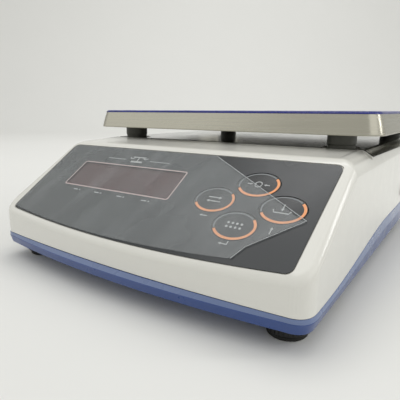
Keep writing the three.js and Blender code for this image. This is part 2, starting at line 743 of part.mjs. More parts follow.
function digitModule(side) {
  const x = WINDOW_X + (side * (DIGITS_WIDTH + 1)) / 2;
  const half = DIGITS_WIDTH / 2;
  const top = -PANEL_RECESS - GAP / 2 - WINDOW_THICK - DIGITS_BACK_GAP;
  return solid(block(
    x - half,
    x + half,
    -WINDOW_DOWN - DIGITS_HEIGHT / 2,
    -WINDOW_DOWN + DIGITS_HEIGHT / 2,
    -BOARD_DEPTH + GAP,
    top,
  ));
}

// ---------------------------------------------------------------- inner and lower pieces

// The weighing circuit board, with its transformer, connector and processor.
function mainBoard() {
  const z = floorZ + MAIN_BOARD_LIFT;
  const halfWide = MAIN_BOARD_WIDTH / 2;
  const halfLong = MAIN_BOARD_LENGTH / 2;
  const x = MAIN_BOARD_X;
  const y = mainBoardY;
  const sheet = solid(block(x - halfWide, x + halfWide, y - halfLong, y + halfLong, z, z + BOARD_THICK));
  const lift = z + BOARD_THICK - GAP;
  const chip = solid(block(x - 12, x + 2, y - 8, y + 6, lift, lift + CHIP_HEIGHT));
  const header = solid(block(x + 18, x + 24, y - 30, y - 10, lift, lift + HEADER_HEIGHT));
  const can = solid(bar(CAPACITOR_RADIUS, x - 18, y + 30, lift, lift + CAPACITOR_HEIGHT, 16));
  const sink = solid(block(x + 4, x + 22, y + 24, y + 32, lift, lift + SINK_HEIGHT));
  const legX = halfWide - BOARD_LEG_INSET;
  const legY = halfLong - BOARD_LEG_INSET;
  const legs = Object.values(corners).map(([sideX, sideY]) => (
    solid(bar(BOARD_LEG_RADIUS, x + sideX * legX, y + sideY * legY, floorZ + GAP, z + GAP, 10))
  ));
  return join(sheet, chip, header, can, sink, ...legs);
}

function battery() {
  const halfWide = BATTERY_WIDTH / 2;
  const halfLong = BATTERY_LENGTH / 2;
  const low = floorZ + 2 * GAP;
  const cell = solid(block(
    batteryX - halfWide,
    batteryX + halfWide,
    batteryY - halfLong,
    batteryY + halfLong,
    low,
    low + BATTERY_HEIGHT,
  ));
  const tabs = [-1, 1].map((side) => {
    const x = batteryX + (side * BATTERY_TAB_SPREAD) / 2;
    const y = batteryY - halfLong;
    const half = BATTERY_TAB_WIDTH / 2;
    const z = low + BATTERY_TAB_HEIGHT;
    return solid(block(x - half, x + half, y - BATTERY_TAB_LONG, y + 2, z, z + BATTERY_TAB_THICK));
  });
  return join(cell, ...tabs);
}

// A steel strap over the battery, with a foot on each side.
function batteryStrap() {
  const inner = BATTERY_WIDTH / 2 + GAP;
  const outer = inner + STRAP_THICK;
  const low = baseZ + WALL + GAP;
  const roof = floorZ + 2 * GAP + BATTERY_HEIGHT + GAP;
  const ear = outer + STRAP_EAR;
  const middle = batteryY + STRAP_BACK;
  const points = [
    [-ear, low],
    [-inner, low],
    [-inner, roof],
    [inner, roof],
    [inner, low],
    [ear, low],
    [ear, low + STRAP_THICK],
    [outer, low + STRAP_THICK],
    [outer, roof + STRAP_THICK],
    [-outer, roof + STRAP_THICK],
    [-outer, low + STRAP_THICK],
    [-ear, low + STRAP_THICK],
  ];
  const placed = points.map(([x, z]) => [x + batteryX, z]);
  return solid(prismAlong(placed, middle - STRAP_WIDTH / 2, middle + STRAP_WIDTH / 2));
}

function batteryDoor() {
  const plate = solid(block(...doorRect(0), baseZ, floorZ));
  const grip = solid(bar(5, batteryX, batteryY - BATTERY_LENGTH / 2 + 4, baseZ - 1, baseZ + 1, 20));
  return cut(plate, grip);
}

// The power switch's frame, a flanged box with an open mouth for the rocker.
function switchFrame() {
  const [x, y] = rockerPlace();
  const flange = solid(block(...rockerRect(FRAME_LIP), baseZ - GAP - FRAME_LIP_THICK, baseZ - GAP));
  const box = solid(block(...rockerRect(GAP), baseZ - GAP - FRAME_LIP_THICK / 4, baseZ + ROCKER_BODY));
  const mouth = solid(block(...rockerRect(-FRAME_WALL), 0, baseZ + ROCKER_BODY - ROCKER_PIN_HEIGHT));
  const pin = new THREE.CylinderGeometry(ROCKER_PIN_RADIUS, ROCKER_PIN_RADIUS, ROCKER_WIDTH, 12);
  const placed = pin.rotateZ(Math.PI / 2).translate(x, y, baseZ + ROCKER_PIN_HEIGHT);
  return join(cut(join(flange, box), mouth), solid(placed));
}

// The rocker: a shallow vee that rocks on a pin across the frame.
function powerRocker() {
  const [x, y] = rockerPlace();
  const halfLong = ROCKER_LENGTH / 2 - FRAME_WALL - ROCKER_SWING;
  const halfWide = ROCKER_WIDTH / 2 - FRAME_WALL - GAP;
  const tilt = THREE.MathUtils.degToRad(ROCKER_TILT);
  const face = -ROCKER_PROUD - ROCKER_PIN_HEIGHT;
  const points = [
    [-halfLong, ROCKER_TOP],
    [-halfLong, face],
    [0, face + halfLong * Math.tan(tilt)],
    [halfLong, face],
    [halfLong, ROCKER_TOP],
  ];
  const pinZ = baseZ + ROCKER_PIN_HEIGHT;
  const boreRadius = ROCKER_PIN_RADIUS + GAP;
  const shape = prismAcross(points, -halfWide, halfWide).rotateX(tilt).translate(x, y, pinZ);
  const bore = new THREE.CylinderGeometry(boreRadius, boreRadius, 2 * ROCKER_WIDTH, 12);
  return cut(solid(shape), solid(bore.rotateZ(Math.PI / 2).translate(x, y, pinZ)));
}

// The charging socket: a bushing in the right wall with a blind bore and a centre pin.
function chargeSocket() {
  const y = backY - SOCKET_BACK;
  const mouth = halfWidthAt(y) + 1;
  const barrel = solid(socketBar(SOCKET_RADIUS, SOCKET_DEPTH));
  const boreShape = new THREE.CylinderGeometry(SOCKET_BORE, SOCKET_BORE, 2 * SOCKET_DEPTH - 4, 16);
  const bore = solid(boreShape.rotateZ(Math.PI / 2).translate(mouth, y, SOCKET_HEIGHT));
  const pinShape = new THREE.CylinderGeometry(1, 1, SOCKET_DEPTH - 3, 10);
  const pin = solid(pinShape.rotateZ(Math.PI / 2).translate(mouth - SOCKET_DEPTH / 2 - 1.5, y, SOCKET_HEIGHT));
  return join(cut(barrel, bore), pin);
}

function bubbleLevel() {
  const y = backY - LEVEL_BACK;
  const top = platformZ + LEVEL_PROUD;
  const body = solid(bar(LEVEL_RADIUS, levelX, y, top - LEVEL_HEIGHT, top, 24));
  const flange = solid(bar(LEVEL_RADIUS + 2, levelX, y, platformZ + GAP, top, 24));
  return join(body, flange);
}

// A levelling foot: a disc turned on to a stud.
function foot(x, y) {
  const low = FOOT_PAD_HEIGHT + GAP;
  const high = baseZ - GAP;
  const profile = [
    [0, low],
    [FOOT_RADIUS - 1.2, low],
    [FOOT_RADIUS, low + 1.2],
    [FOOT_RADIUS, high - 1.6],
    [FOOT_RADIUS - 1.6, high],
    [STUD_RADIUS, high],
    [STUD_RADIUS, high + STUD_LENGTH],
    [0, high + STUD_LENGTH],
  ];
  const lathe = new THREE.LatheGeometry(profile.map(([r, z]) => new THREE.Vector2(r, z)), 28);
  return solid(lathe.rotateX(Math.PI / 2).translate(x, y, 0));
}

function footPad(x, y) {
  return solid(bar(FOOT_PAD_RADIUS, x, y, 0, FOOT_PAD_HEIGHT, 28));
}

function casingScrew(x, y) {
  const head = solid(bar(SCREW_HEAD_RADIUS, x, y, baseZ + GAP, baseZ + GAP + SCREW_HEAD_HEIGHT - GAP, 16));
  const shank = solid(bar(SCREW_RADIUS, x, y, baseZ + GAP + 0.5, baseZ + SCREW_LENGTH, 12));
  return join(head, shank);
}

function cable(points) {
  const curve = new THREE.CatmullRomCurve3(points.map(([x, y, z]) => new THREE.Vector3(x, y, z)));
  const section = new THREE.Shape();
  section.absarc(0, 0, CABLE_RADIUS, 0, Math.PI * 2);
  const geometry = new THREE.ExtrudeGeometry(section, { steps: 28, curveSegments: 4, extrudePath: curve });
  return solid(geometry);
}

// The load cell's lead: out of the cell's fixed end, over the plate and up to the main board.
function cellLead() {
  const y = panY - CELL_LENGTH / 2;
  const z = cellZ + CELL_HEIGHT / 2;
  const boardX = MAIN_BOARD_X + MAIN_BOARD_WIDTH / 2;
  return cable([
    [0, y - 2 * GAP, z],
    [0, y - 9, z - 1],
    [-12, y - 16, z - 8],
    [boardX + 6, y - 6, z - 10],
    [boardX + 3, y + 12, floorZ + MAIN_BOARD_LIFT + 6],
    [boardX - 4, y + 22, floorZ + MAIN_BOARD_LIFT + BOARD_THICK + 5],
  ]);
}

// The battery's lead, across the base in front of the load cell's plate.
function batteryLead() {
  const y = batteryY - BATTERY_LENGTH / 2;
  const z = floorZ + BATTERY_HEIGHT - 9;
  const boardY = mainBoardY - MAIN_BOARD_LENGTH / 2;
  return cable([
    [batteryX - 14, y - 7, z],
    [batteryX - 18, y - 16, z - 8],
    [batteryX - 34, y - 38, floorZ + 12],
    [0, y - 44, floorZ + 5],
    [MAIN_BOARD_X + 10, y - 34, floorZ + 5],
    [MAIN_BOARD_X, boardY - 5, floorZ + MAIN_BOARD_LIFT + BOARD_THICK],
  ]);
}

function ratingLabel() {
  const x = -halfFront / 3;
  return solid(block(
    x - LABEL_WIDTH / 2,
    x + LABEL_WIDTH / 2,
    -LABEL_LENGTH / 2,
    LABEL_LENGTH / 2,
    baseZ - GAP - LABEL_THICK,
    baseZ - GAP,
  ));
}

// ---------------------------------------------------------------- assembly

const shellWhite = { color: 0xc8c8c3, roughness: 0.35, metalness: 0 };
const shellBlue = { color: 0x2f4f8c, roughness: 0.4, metalness: 0 };
const steel = { color: 0xb9b6ab, roughness: 0.32, metalness: 1 };
const aluminium = { color: 0xa9abac, roughness: 0.5, metalness: 1 };
const darkPlastic = { color: 0x4a4b45, roughness: 0.55, metalness: 0 };
const black = { color: 0x141414, roughness: 0.6, metalness: 0 };
const greyPanel = { color: 0x5c5e5f, roughness: 0.45, metalness: 0 };
const maroon = { color: 0x3a1a1c, roughness: 0.15, metalness: 0 };
const clearFilm = { color: 0xd8dcdc, roughness: 0.15, metalness: 0 };
const blueFilm = { color: 0x3f4a9a, roughness: 0.25, metalness: 0 };
const boardGreen = { color: 0x1d5a36, roughness: 0.5, metalness: 0 };
const zincSteel = { color: 0x9a9a92, roughness: 0.4, metalness: 1 };
const labelSilver = { color: 0xb5b7b8, roughness: 0.4, metalness: 0.3 };
const glassGreen = { color: 0x9fc25a, roughness: 0.1, metalness: 0 };

const scale = new THREE.Group();
const consoleGroup = new THREE.Group();
consoleGroup.rotation.x = slope;
consoleGroup.position.set(0, panelY, panelZ);
scale.add(consoleGroup);

function place(parent, name, body, finish) {
  const mesh = new THREE.Mesh(toGeometry(body), new THREE.MeshStandardMaterial(finish));
  mesh.name = name;
  parent.add(mesh);
}

place(scale, 'top_casing', topCasing(), shellWhite);
place(scale, 'bottom_casing', bottomCasing(), shellBlue);
place(scale, 'pan', pan(), steel);
place(scale, 'pan_film', panFilm(), blueFilm);
place(scale, 'spider', spider(), aluminium);
place(scale, 'load_cell', loadCell(), aluminium);
place(scale, 'load_cell_base_spacer', cellSpacer(-1), aluminium);
place(scale, 'load_cell_top_spacer', cellSpacer(1), aluminium);
place(scale, 'base_plate', basePlate(), zincSteel);
place(scale, 'main_board', mainBoard(), boardGreen);
place(scale, 'battery', battery(), black);
place(scale, 'battery_strap', batteryStrap(), zincSteel);
place(scale, 'battery_door', batteryDoor(), shellBlue);
place(scale, 'power_switch_frame', switchFrame(), black);
place(scale, 'power_rocker', powerRocker(), black);
place(scale, 'charge_socket', chargeSocket(), black);
place(scale, 'bubble_level', bubbleLevel(), glassGreen);
place(scale, 'load_cell_lead', cellLead(), black);
place(scale, 'battery_lead', batteryLead(), black);
place(scale, 'rating_label', ratingLabel(), labelSilver);

place(consoleGroup, 'keypad_panel', panel(), greyPanel);
place(consoleGroup, 'display_window', displayWindow(), maroon);
place(consoleGroup, 'panel_film', panelFilm(), clearFilm);
place(consoleGroup, 'display_board', displayBoard(), boardGreen);
place(consoleGroup, 'digits_left', digitModule(-1), black);
place(consoleGroup, 'digits_right', digitModule(1), black);
for (const [name, spot] of Object.entries(keyPlaces)) {
  place(consoleGroup, `key_${name}`, keyCap(spot), greyPanel);
  place(consoleGroup, `switch_${name}`, keySwitch(...spot), black);
}

Object.entries(corners).forEach(([name, [sideX, sideY]], index) => {
  const [footX, footY] = footPlace(sideX, sideY);
  const [supportX, supportY] = postPlaces()[index];
  const [screwX, screwY] = pillarPlaces()[index];
  place(scale, `foot_${name}`, foot(footX, footY), black);
  place(scale, `foot_pad_${name}`, footPad(footX, footY), darkPlastic);
  place(scale, `pan_post_${name}`, panPost(supportX, supportY), darkPlastic);
  place(scale, `pan_pad_${name}`, panPad(supportX, supportY), black);
  place(scale, `casing_screw_${name}`, casingScrew(screwX, screwY), zincSteel);
  const stop = stopScrew(sideX * postX * STOP_ALONG, panY + sideY * postY * STOP_ALONG);
  place(scale, `stop_screw_${name}`, stop, zincSteel);
});

export default scale;
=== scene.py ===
"""Looks of a bench counting scale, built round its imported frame.

Each sub-assembly is a class that holds its sizes, builds its meshes and dresses them. Lengths are in
millimetres in the fields and in metres in the meshes.
"""

import json
import logging
import math
from dataclasses import dataclass, field
from enum import Enum
from typing import Callable, Iterable, Sequence

import bmesh
import bpy
from mathutils import Matrix, Vector, noise


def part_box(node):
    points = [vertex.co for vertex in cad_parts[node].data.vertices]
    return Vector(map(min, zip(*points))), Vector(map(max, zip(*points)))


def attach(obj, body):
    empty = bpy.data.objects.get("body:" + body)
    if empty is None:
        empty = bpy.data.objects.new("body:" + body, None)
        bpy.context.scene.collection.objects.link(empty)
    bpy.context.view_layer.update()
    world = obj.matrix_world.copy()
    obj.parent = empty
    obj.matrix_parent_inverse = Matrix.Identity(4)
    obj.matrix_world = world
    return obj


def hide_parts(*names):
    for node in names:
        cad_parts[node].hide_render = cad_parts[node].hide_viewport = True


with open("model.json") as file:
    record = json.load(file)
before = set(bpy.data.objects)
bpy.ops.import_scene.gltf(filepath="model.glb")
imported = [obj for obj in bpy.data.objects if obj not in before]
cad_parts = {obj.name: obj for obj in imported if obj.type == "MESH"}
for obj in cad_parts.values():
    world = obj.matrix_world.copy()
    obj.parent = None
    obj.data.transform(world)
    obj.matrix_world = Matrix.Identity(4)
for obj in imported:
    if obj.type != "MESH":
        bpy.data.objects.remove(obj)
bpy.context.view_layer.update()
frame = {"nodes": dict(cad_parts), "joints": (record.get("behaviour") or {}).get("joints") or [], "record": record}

MM = 0.001  # a millimetre in metres
CORNERS = ("front_left", "front_right", "back_left", "back_right")
KEYS = ("zero", "unit", "tare", "count")
X_WAY = Vector((1, 0, 0))
Y_WAY = Vector((0, 1, 0))
WINDOW_SHARE = 0.267  # the display window's height over its width
KEY_SHARE = 0.75  # a key's height over its width
FIT_GAP = 0.3  # the gap between a part and its opening
TURNED = 40.0  # edges of turned pieces stay sharp over this many degrees
log = logging.getLogger("counting_scale")

Point = tuple[float, float]
Loop = list[Point]
Ring = Sequence[Sequence[float]]
Place = Callable[[float, float, float], Vector]


# ------------------------------------------------------------------------------------------------ mesh tools


def link(name: str, mesh: bpy.types.Mesh) -> bpy.types.Object:
    """Put a mesh in the scene as an object at the origin."""
    piece = bpy.data.objects.new(name, mesh)
    bpy.context.scene.collection.objects.link(piece)
    return piece


def from_bmesh(name: str, bm: bmesh.types.BMesh) -> bpy.types.Object:
    """Turn an edit mesh into an object and free it.

    Args:
        name: The object's name.
        bm: The edit mesh, in metres.

    Returns:
        The new object.
    """
    mesh = bpy.data.meshes.new(name)
    bm.to_mesh(mesh)
    bm.free()
    return link(name, mesh)


def settle(piece: bpy.types.Object) -> None:
    """Bake an object's modifiers into its mesh."""
    graph = bpy.context.evaluated_depsgraph_get()
    mesh = bpy.data.meshes.new_from_object(piece.evaluated_get(graph))
    old = piece.data
    piece.modifiers.clear()
    piece.data = mesh
    bpy.data.meshes.remove(old)


def combine(piece: bpy.types.Object, tool: bpy.types.Object, how: str = "DIFFERENCE") -> None:
    """Cut or join one closed solid with another, which is used up.

    Args:
        piece: The object that changes.
        tool: The solid that is taken off, added or kept.
        how: The name of the boolean.
    """
    modifier = piece.modifiers.new("combine", "BOOLEAN")
    modifier.operation = how
    modifier.solver = "EXACT"
    modifier.object = tool
    settle(piece)
    bpy.data.objects.remove(tool)


def smooth(piece: bpy.types.Object, angle: float = 32, weigh: bool = True) -> None:
    """Shade a piece smooth, with its sharp edges kept.

    Args:
        piece: The object to shade.
        angle: Edges sharper than this many degrees stay sharp.
        weigh: Whether large flat faces lead the normals.
    """
    mesh = piece.data
    mesh.polygons.foreach_set("use_smooth", [True] * len(mesh.polygons))
    mesh.set_sharp_from_angle(angle=math.radians(angle))
    if weigh:
        modifier = piece.modifiers.new("weigh", "WEIGHTED_NORMAL")
        modifier.keep_sharp = True
        modifier.weight = 60


def bevel(piece: bpy.types.Object, width: float, segments: int = 3, angle: float = 30) -> None:
    """Round the sharp edges of a piece.

    Args:
        piece: The object to round.
        width: The width of the rounding, in millimetres.
        segments: How many faces cross the rounding.
        angle: Only edges sharper than this many degrees are rounded.
    """
    modifier = piece.modifiers.new("round", "BEVEL")
    modifier.width = width * MM
    modifier.segments = segments
    modifier.limit_method = "ANGLE"
    modifier.angle_limit = math.radians(angle)
    modifier.use_clamp_overlap = True
    settle(piece)


def ring(bm: bmesh.types.BMesh, points: Iterable[Sequence[float]]) -> list[bmesh.types.BMVert]:
    """Add points, given in millimetres, as loose vertices."""
    return [bm.verts.new(Vector(p) * MM) for p in points]


def stack(rings: Sequence[Ring], caps: tuple[bool, bool] = (True, True)) -> bmesh.types.BMesh:
    """Skin a stack of rings that have the same number of points.

    The rings run anticlockwise seen against the direction of the stack, so that faces point outwards.

    Args:
        rings: Closed rings of points, in millimetres.
        caps: Whether the first and the last ring are closed by a face.

    Returns:
        An edit mesh, in metres.
    """
    bm = bmesh.new()
    rows = [ring(bm, points) for points in rings]
    count = len(rows[0])
    for low, high in zip(rows, rows[1:]):
        for i in range(count):
            j = (i + 1) % count
            bm.faces.new((low[i], low[j], high[j], high[i]))
    if caps[0]:
        bm.faces.new(list(reversed(rows[0])))
    if caps[1]:
        bm.faces.new(rows[-1])
    bm.normal_update()
    return bm


def loft(name: str, rings: Sequence[Ring], caps: tuple[bool, bool] = (True, True)) -> bpy.types.Object:
    """An object skinned over a stack of rings."""
    return from_bmesh(name, stack(rings, caps))


def closed(name: str, rings: Sequence[Ring]) -> bpy.types.Object:
    """An object skinned over rings that run either way round, with its faces turned outwards."""
    bm = stack(rings)
    bmesh.ops.recalc_face_normals(bm, faces=bm.faces)
    return from_bmesh(name, bm)


def lathe(name: str, profile: Sequence[Point], centre: Point, segments: int = 48) -> bpy.types.Object:
    """Turn a profile of radius and height round an upright axis.

    Args:
        name: The object's name.
        profile: Points of (radius, height) from the lower end of the axis to the upper, in millimetres.
        centre: Where the axis stands.
        segments: Faces round the axis.

    Returns:
        The new object.
    """
    bm = bmesh.new()
    turns = [math.tau * i / segments for i in range(segments)]
    rows: list[list[bmesh.types.BMVert]] = []
    for radius, height in profile:
        if radius < 1e-6:
            rows.append(ring(bm, [(centre[0], centre[1], height)]))
            continue
        spots = [(centre[0] + radius * math.cos(a), centre[1] + radius * math.sin(a), height) for a in turns]
        rows.append(ring(bm, spots))
    for low, high in zip(rows, rows[1:]):
        for i in range(segments):
            j = (i + 1) % segments
            if len(low) == 1:
                bm.faces.new((low[0], high[j], high[i]))
            elif len(high) == 1:
                bm.faces.new((low[i], low[j], high[0]))
            else:
                bm.faces.new((low[i], low[j], high[j], high[i]))
    return from_bmesh(name, bm)


def prism(name: str, outline: Sequence[Point], place: Place, low: float, high: float) -> bpy.types.Object:
    """Raise a flat outline into a closed solid.

    Args:
        name: The object's name.
        outline: Anticlockwise points of the outline.
        place: Turns two flat coordinates and a height into a point in millimetres.
        low: The height of the underside.
        high: The height of the top.

    Returns:
        The new object.
    """
    return loft(name, [[place(x, y, z) for x, y in outline] for z in (low, high)])


def upright(x: float, y: float, z: float) -> Vector:
    """The place of a prism's point where the prism stands upright."""
    return Vector((x, y, z))


def lifted(outline: Sequence[Point], height: float) -> Ring:
    """A flat outline at a height."""
    return [(x, y, height) for x, y in outline]


def move(x: float, y: float, z: float) -> Matrix:
    """A move by millimetres."""
    return Matrix.Translation(Vector((x, y, z)) * MM)


def thicken(piece: bpy.types.Object, thickness: float, offset: float) -> None:
    """Make a sheet solid.

    Args:
        piece: The sheet.
        thickness: How thick it becomes, in millimetres.
        offset: Where its old face ends up, from -1 for the outside to 1 for the inside.
    """
    modifier = piece.modifiers.new("thick", "SOLIDIFY")
    modifier.thickness = thickness * MM
    modifier.offset = offset
    settle(piece)


def merge(name: str, pieces: Sequence[bpy.types.Object]) -> bpy.types.Object:
    """Join separate meshes into one object, with no cut between them."""
    bm = bmesh.new()
    for piece in pieces:
        bm.from_mesh(piece.data)
        bpy.data.objects.remove(piece)
    return from_bmesh(name, bm)


def reach(node: str, direction: Sequence[float]) -> float:
    """How far a CAD node reaches along a direction, in millimetres."""
    way = Vector(direction)
    return max(v.co.dot(way) for v in frame["nodes"][node].data.vertices) / MM


def span(node: str) -> tuple[Vector, Vector]:
    """The lowest and highest corner of a CAD node, in millimetres."""
    low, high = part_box(node)
    return low / MM, high / MM


@dataclass(frozen=True)
class Extent:
    """A CAD node's middle seen from above, half its width (a round node's radius) and its two heights."""

    spot: Point
    half: float
    low: float
    high: float

    @classmethod
    def of(cls, node: str) -> "Extent":
        """Measure a node."""
        low, high = span(node)
        return cls(((low.x + high.x) / 2, (low.y + high.y) / 2), (high.x - low.x) / 2, low.z, high.z)


def grid(bm: bmesh.types.BMesh, way: Vector, stops: Iterable[float]) -> None:
    """Cut every face of an edit mesh by planes across a direction, at stops in millimetres."""
    for stop in stops:
        geom = bm.verts[:] + bm.edges[:] + bm.faces[:]
        bmesh.ops.bisect_plane(bm, geom=geom, plane_co=way * stop * MM, plane_no=way)


def spread(low: float, high: float, cells: int) -> list[float]:
    """The inner stops that part a range into equal cells."""
    return [low + (high - low) * i / cells for i in range(1, cells)]


def line_points(start: Point, end: Point, steps: int) -> Loop:
    """Points of a straight line, without its first one."""
    (x0, y0), (x1, y1) = start, end
    return [(x0 + (x1 - x0) * i / steps, y0 + (y1 - y0) * i / steps) for i in range(1, steps + 1)]


def curve_points(start: Point, pull: Point, end: Point, steps: int) -> Loop:
    """Points of a quadratic curve, without its first one."""
    points = []
    for i in range(1, steps + 1):
        t = i / steps
        a, b, c = (1 - t) ** 2, 2 * t * (1 - t), t * t
        points.append((a * start[0] + b * pull[0] + c * end[0], a * start[1] + b * pull[1] + c * end[1]))
    return points


def arc_points(centre: Point, radius: float, start: float, end: float, steps: int) -> Loop:
    """Points of a circular arc, its angles in degrees, with both ends."""
    points = []
    for i in range(steps + 1):
        a = math.radians(start + (end - start) * i / steps)
        points.append((centre[0] + radius * math.cos(a), centre[1] + radius * math.sin(a)))
    return points


def round_rect(x0: float, x1: float, y0: float, y1: float, radius: float, steps: int = 10) -> Loop:
    """Anticlockwise outline of a rectangle with round corners."""
    spots = [(x1 - radius, y0 + radius, -90), (x1 - radius, y1 - radius, 0),
             (x0 + radius, y1 - radius, 90), (x0 + radius, y0 + radius, 180)]
    loop: Loop = []
    for x, y, turn in spots:
        loop += arc_points((x, y), radius, turn, turn + 90, steps)
    return loop


def round_box(middle: Point, half: float, tall: float, radius: float) -> Loop:
    """Outline of a rectangle with round corners, by its middle and its half sizes."""
    x, y = middle
    return round_rect(x - half, x + half, y - tall, y + tall, radius)


def node_rect(node: str, inset: float, radius: float, steps: int = 10) -> Loop:
    """Outline of a CAD node's box seen from above, drawn in by an inset, with round corners."""
    low, high = span(node)
    return round_rect(low.x + inset, high.x - inset, low.y + inset, high.y - inset, radius, steps)


def ride(piece: bpy.types.Object, body: str, slot: str, *nodes: str) -> bpy.types.Object:
    """Give a finished piece its body, and hide the CAD nodes it stands for."""
    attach(piece, body)
    if nodes:
        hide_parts(*nodes)
    log.info("%s rides on %s", piece.name, body)
    return piece


# ------------------------------------------------------------------------------------------------- materials


class Pen:
    """Writes the nodes of one material."""

    def __init__(self, name: str) -> None:
        """Start a material with an empty tree."""
        self.material = bpy.data.materials.new(name)
        self.material.use_nodes = True
        self.tree = self.material.node_tree
        self.tree.nodes.clear()
        self.output = self.node("ShaderNodeOutputMaterial")

    def node(self, kind: str, **settings: object) -> bpy.types.Node:
        """Add a node.

        Args:
            kind: The node's type.
            settings: Values for its properties, or for its inputs where the name starts with a capital;
                an underscore stands for a space.

        Returns:
            The node.
        """
        made = self.tree.nodes.new(kind)
        for key, value in settings.items():
            if key[0].isupper():
                self.feed(value, made.inputs[key.replace("_", " ")])
            else:
                setattr(made, key, value)
        return made

    def feed(self, value: object, socket: bpy.types.NodeSocket) -> None:
        """Link a socket to an input, or set its value."""
        if isinstance(value, bpy.types.NodeSocket):
            self.tree.links.new(value, socket)
        else:
            socket.default_value = value

    def place(self, scale: Sequence[float] = (1, 1, 1), turn: float = 0) -> bpy.types.NodeSocket:
        """Object coordinates, turned about the upright axis and then scaled."""
        where = self.node("ShaderNodeTexCoord").outputs["Object"]
        turned = self.node("ShaderNodeMapping", Vector=where, Rotation=(0, 0, turn))
        scaled = self.node("ShaderNodeMapping", Vector=turned.outputs["Vector"], Scale=tuple(scale))
        return scaled.outputs["Vector"]

    def noise(self, where: bpy.types.NodeSocket, scale: float, detail: float = 3,
              rough: float = 0.55) -> bpy.types.NodeSocket:
        """A noise value over a position."""
        made = self.node("ShaderNodeTexNoise", Vector=where, Scale=scale, Detail=detail, Roughness=rough)
        return made.outputs["Fac"]

    def range(self, value: bpy.types.NodeSocket, low: float, high: float,
              source: tuple[float, float] = (0.3, 0.7)) -> bpy.types.NodeSocket:
        """Map a value from a source range to low..high."""
        made = self.node("ShaderNodeMapRange", Value=value)
        for name, number in zip(("From Min", "From Max", "To Min", "To Max"), (*source, low, high)):
            made.inputs[name].default_value = number
        return made.outputs["Result"]

    def mix(self, share: object, first: object, second: object) -> bpy.types.NodeSocket:
        """Blend two colours."""
        made = self.node("ShaderNodeMix", data_type="RGBA")
        for index, value in zip((0, 6, 7), (share, first, second)):
            self.feed(value, made.inputs[index])
        return made.outputs[2]

    def bump(self, height: bpy.types.NodeSocket, strength: float, distance: float,
             under: object = None) -> bpy.types.NodeSocket:
        """A bump from a height, over another bump where one is given."""
        made = self.node("ShaderNodeBump", Height=height, Strength=strength, Distance=distance)
        if under is not None:
            self.feed(under, made.inputs["Normal"])
        return made.outputs["Normal"]

    def finish(self, **settings: object) -> bpy.types.Material:
        """Close the material with a principled shader."""
        shader = self.node("ShaderNodeBsdfPrincipled", **settings)
        self.tree.links.new(shader.outputs["BSDF"], self.output.inputs["Surface"])
        return self.material


def tone(code: str, gain: float = 1.0) -> tuple[float, float, float, float]:
    """A linear colour from a hex code, made lighter or darker by a gain."""
    parts = [int(code[i:i + 2], 16) / 255 for i in (1, 3, 5)]
    linear = [(p / 12.92 if p <= 0.04045 else ((p + 0.055) / 1.055) ** 2.4) * gain for p in parts]
    return (*[min(v, 1.0) for v in linear], 1.0)


@dataclass(frozen=True)
class Moulded:
    """Moulded plastic or rubber: a fine grain, uneven gloss and a little uneven colour."""

    name: str
    colour: str
    roughness: float = 0.4
    spread: float = 0.06
    grain: float = 0.05
    grain_scale: float = 1400
    ripple: float = 0.02
    shade: float = 0.06
    level: float = 0.5
    coat: float = 0.0
    cloud_scale: float = 28
    gloss_scale: float = 90
    ripple_scale: float = 35

    def make(self) -> bpy.types.Material:
        """Write the material."""
        pen = Pen(self.name)
        where = pen.place()
        cloud = pen.noise(where, self.cloud_scale)
        fine = pen.noise(where, self.grain_scale, 2)
        colour = pen.mix(cloud, tone(self.colour, 1 - self.shade), tone(self.colour, 1 + self.shade))
        patches = pen.noise(where, self.gloss_scale, 4)
        gloss = pen.range(patches, self.roughness - self.spread, self.roughness + self.spread)
        wavy = pen.bump(pen.noise(where, self.ripple_scale, 1), self.ripple, 0.01)
        normal = pen.bump(fine, self.grain, 0.0004, wavy)
        return pen.finish(Base_Color=colour, Roughness=gloss, Normal=normal, IOR=1.49,
                          Specular_IOR_Level=self.level, Coat_Weight=self.coat, Coat_Roughness=0.12)


@dataclass(frozen=True)
class Brushed:
    """Sheet metal with a brushed grain along one direction."""

    name: str
    colour: str
    roughness: float = 0.28
    stretch: tuple[float, float, float] = (6, 900, 900)
    strength: float = 0.16
    turn: float = 0.0
    cloud_scale: float = 14

    def make(self) -> bpy.types.Material:
        """Write the material."""
        pen = Pen(self.name)
        lines = pen.noise(pen.place(self.stretch, self.turn), 1, 5, 0.7)
        cloud = pen.noise(pen.place(), self.cloud_scale, 3)
        colour = pen.mix(lines, tone(self.colour, 0.93), tone(self.colour, 1.05))
        colour = pen.mix(pen.range(cloud, 0, 0.3), colour, tone(self.colour, 0.8))
        gloss = pen.range(lines, self.roughness - 0.08, self.roughness + 0.1)
        normal = pen.bump(lines, self.strength, 0.00012)
        return pen.finish(Base_Color=colour, Metallic=1.0, Roughness=gloss, Normal=normal)


@dataclass(frozen=True)
class Cast:
    """Cast, milled or plated metal with a grainy skin."""

    name: str
    colour: str
    roughness: float = 0.5
    grain: float = 0.25
    scale: float = 700
    stain_scale: float = 45

    def make(self) -> bpy.types.Material:
        """Write the material."""
        pen = Pen(self.name)
        where = pen.place()
        skin = pen.noise(where, self.scale, 5, 0.65)
        stain = pen.noise(where, self.stain_scale, 4)
        colour = pen.mix(stain, tone(self.colour, 0.78), tone(self.colour, 1.08))
        gloss = pen.range(skin, self.roughness - 0.1, self.roughness + 0.12)
        normal = pen.bump(skin, self.grain, 0.0004)
        return pen.finish(Base_Color=colour, Metallic=0.92, Roughness=gloss, Normal=normal)


